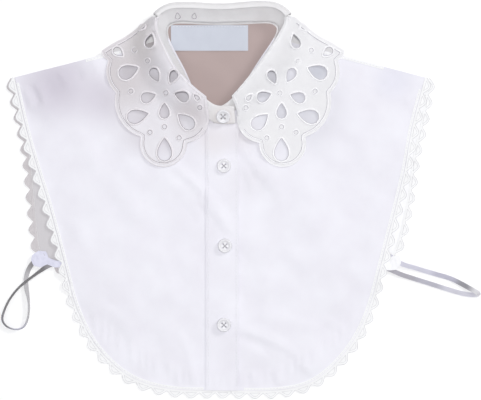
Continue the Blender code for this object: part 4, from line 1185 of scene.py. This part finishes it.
# Buttons
# Four white resin shirt buttons with a raised rim, a shallow dish and four holes, sewn
# on with a cross of thread. The first sits on the stand, the others on the placket.
BUTTON = (0.82, 0.815, 0.84)
BUTTON_DEEP = (0.74, 0.735, 0.765)
BUTTON_RADIUS = 6.2
HOLE_OFFSET = 1.65
HOLE_RADIUS = 0.85
BUTTON_MESH = 0.55
# Each arm of the sewn cross is two threads, this far aside from its middle
CROSS_SHIFT = 0.22
# Radius and height of the upper side and of the under side, from the middle out
BUTTON_TOP = ((0.0, 1.35), (2.9, 1.4), (3.7, 1.6), (4.3, 2.1), (4.9, 2.38), (5.5, 2.3),
              (6.0, 1.8), (6.2, 1.2))
BUTTON_UNDER = ((0.0, 0.0), (4.6, 0.0), (5.5, 0.15), (6.05, 0.6), (6.2, 1.2))

resin = Finish("button_resin", BUTTON, Roughness=0.4, Specular_IOR_Level=0.3, Coat_Weight=0.08,
               Coat_Roughness=0.3)
# The cross is set much darker than the white sewing thread: painted shade in the button's holes
sewn_cross = satin_finish("button_thread", (0.46, 0.45, 0.49), (0.34, 0.33, 0.36))
resin_spot, _ = resin.place()
pearl = resin.noise(resin_spot, 3.0, 3.0)
resin.use(Base_Color=resin.blend(pearl, BUTTON_DEEP, BUTTON), Roughness=0.36 + pearl * 0.16)

button_loops = [BUTTON_RADIUS * circle(48)]
for sx in (-1, 1):
    for sy in (-1, 1):
        button_loops.append(np.array([sx, sy]) * HOLE_OFFSET + HOLE_RADIUS * circle(14))
button_flat, button_corners = plan_mesh(button_loops, BUTTON_MESH)
button_far = np.linalg.norm(button_flat, axis=1)
button_top = np.interp(button_far, *np.transpose(BUTTON_TOP))
button_under = np.interp(button_far, *np.transpose(BUTTON_UNDER))
button_verts, button_faces = shell(button_flat, button_top, button_under, button_corners)

for number in range(1, 5):
    node = "button_%d" % number
    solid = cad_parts[node].data
    points = np.array([tuple(v.co / MM) for v in solid.vertices])
    middle = points.mean(axis=0)
    spread = np.linalg.svd(points - middle)[2]
    normal = spread[2] * (1 if spread[2][2] > 0 else -1)
    reach = (points - middle) @ normal
    seat = middle + normal * reach.min()
    tilt = math.atan2(-normal[1], normal[2])
    turn = np.array([[1, 0, 0], [0, math.cos(tilt), -math.sin(tilt)],
                     [0, math.sin(tilt), math.cos(tilt)]])
    low, high = points.min(axis=0), points.max(axis=0)
    seat[0] = (low[0] + high[0]) / 2
    button = new_piece("shirt_" + node, button_verts @ turn.T + seat, button_faces,
                       resin.material, "button_white", sharp=35.0)
    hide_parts(node)
    parts = []
    for start, end in (((-1, -1), (1, 1)), ((-1, 1), (1, -1))):
        start, end = np.array(start) * HOLE_OFFSET, np.array(end) * HOLE_OFFSET
        for shift in (-CROSS_SHIFT, CROSS_SHIFT):
            aside = np.array([-(end - start)[1], (end - start)[0]]) / np.linalg.norm(end - start)
            line = [(*(start + aside * shift), 0.6), (*(start * 0.93 + aside * shift), 1.5),
                    (*(start * 0.5 + aside * shift), 1.75), (*(aside * shift), 1.85),
                    (*(end * 0.5 + aside * shift), 1.75), (*(end * 0.93 + aside * shift), 1.5),
                    (*(end + aside * shift), 0.6)]
            verts, faces = thread_tube(smooth_line(line, 4), 0.2, sides=6, flat=1.0)
            parts.append((np.array(verts) @ turn.T + seat, faces))
    new_piece("button_thread_%d" % number, *joined(parts), sewn_cross, "cotton_white")
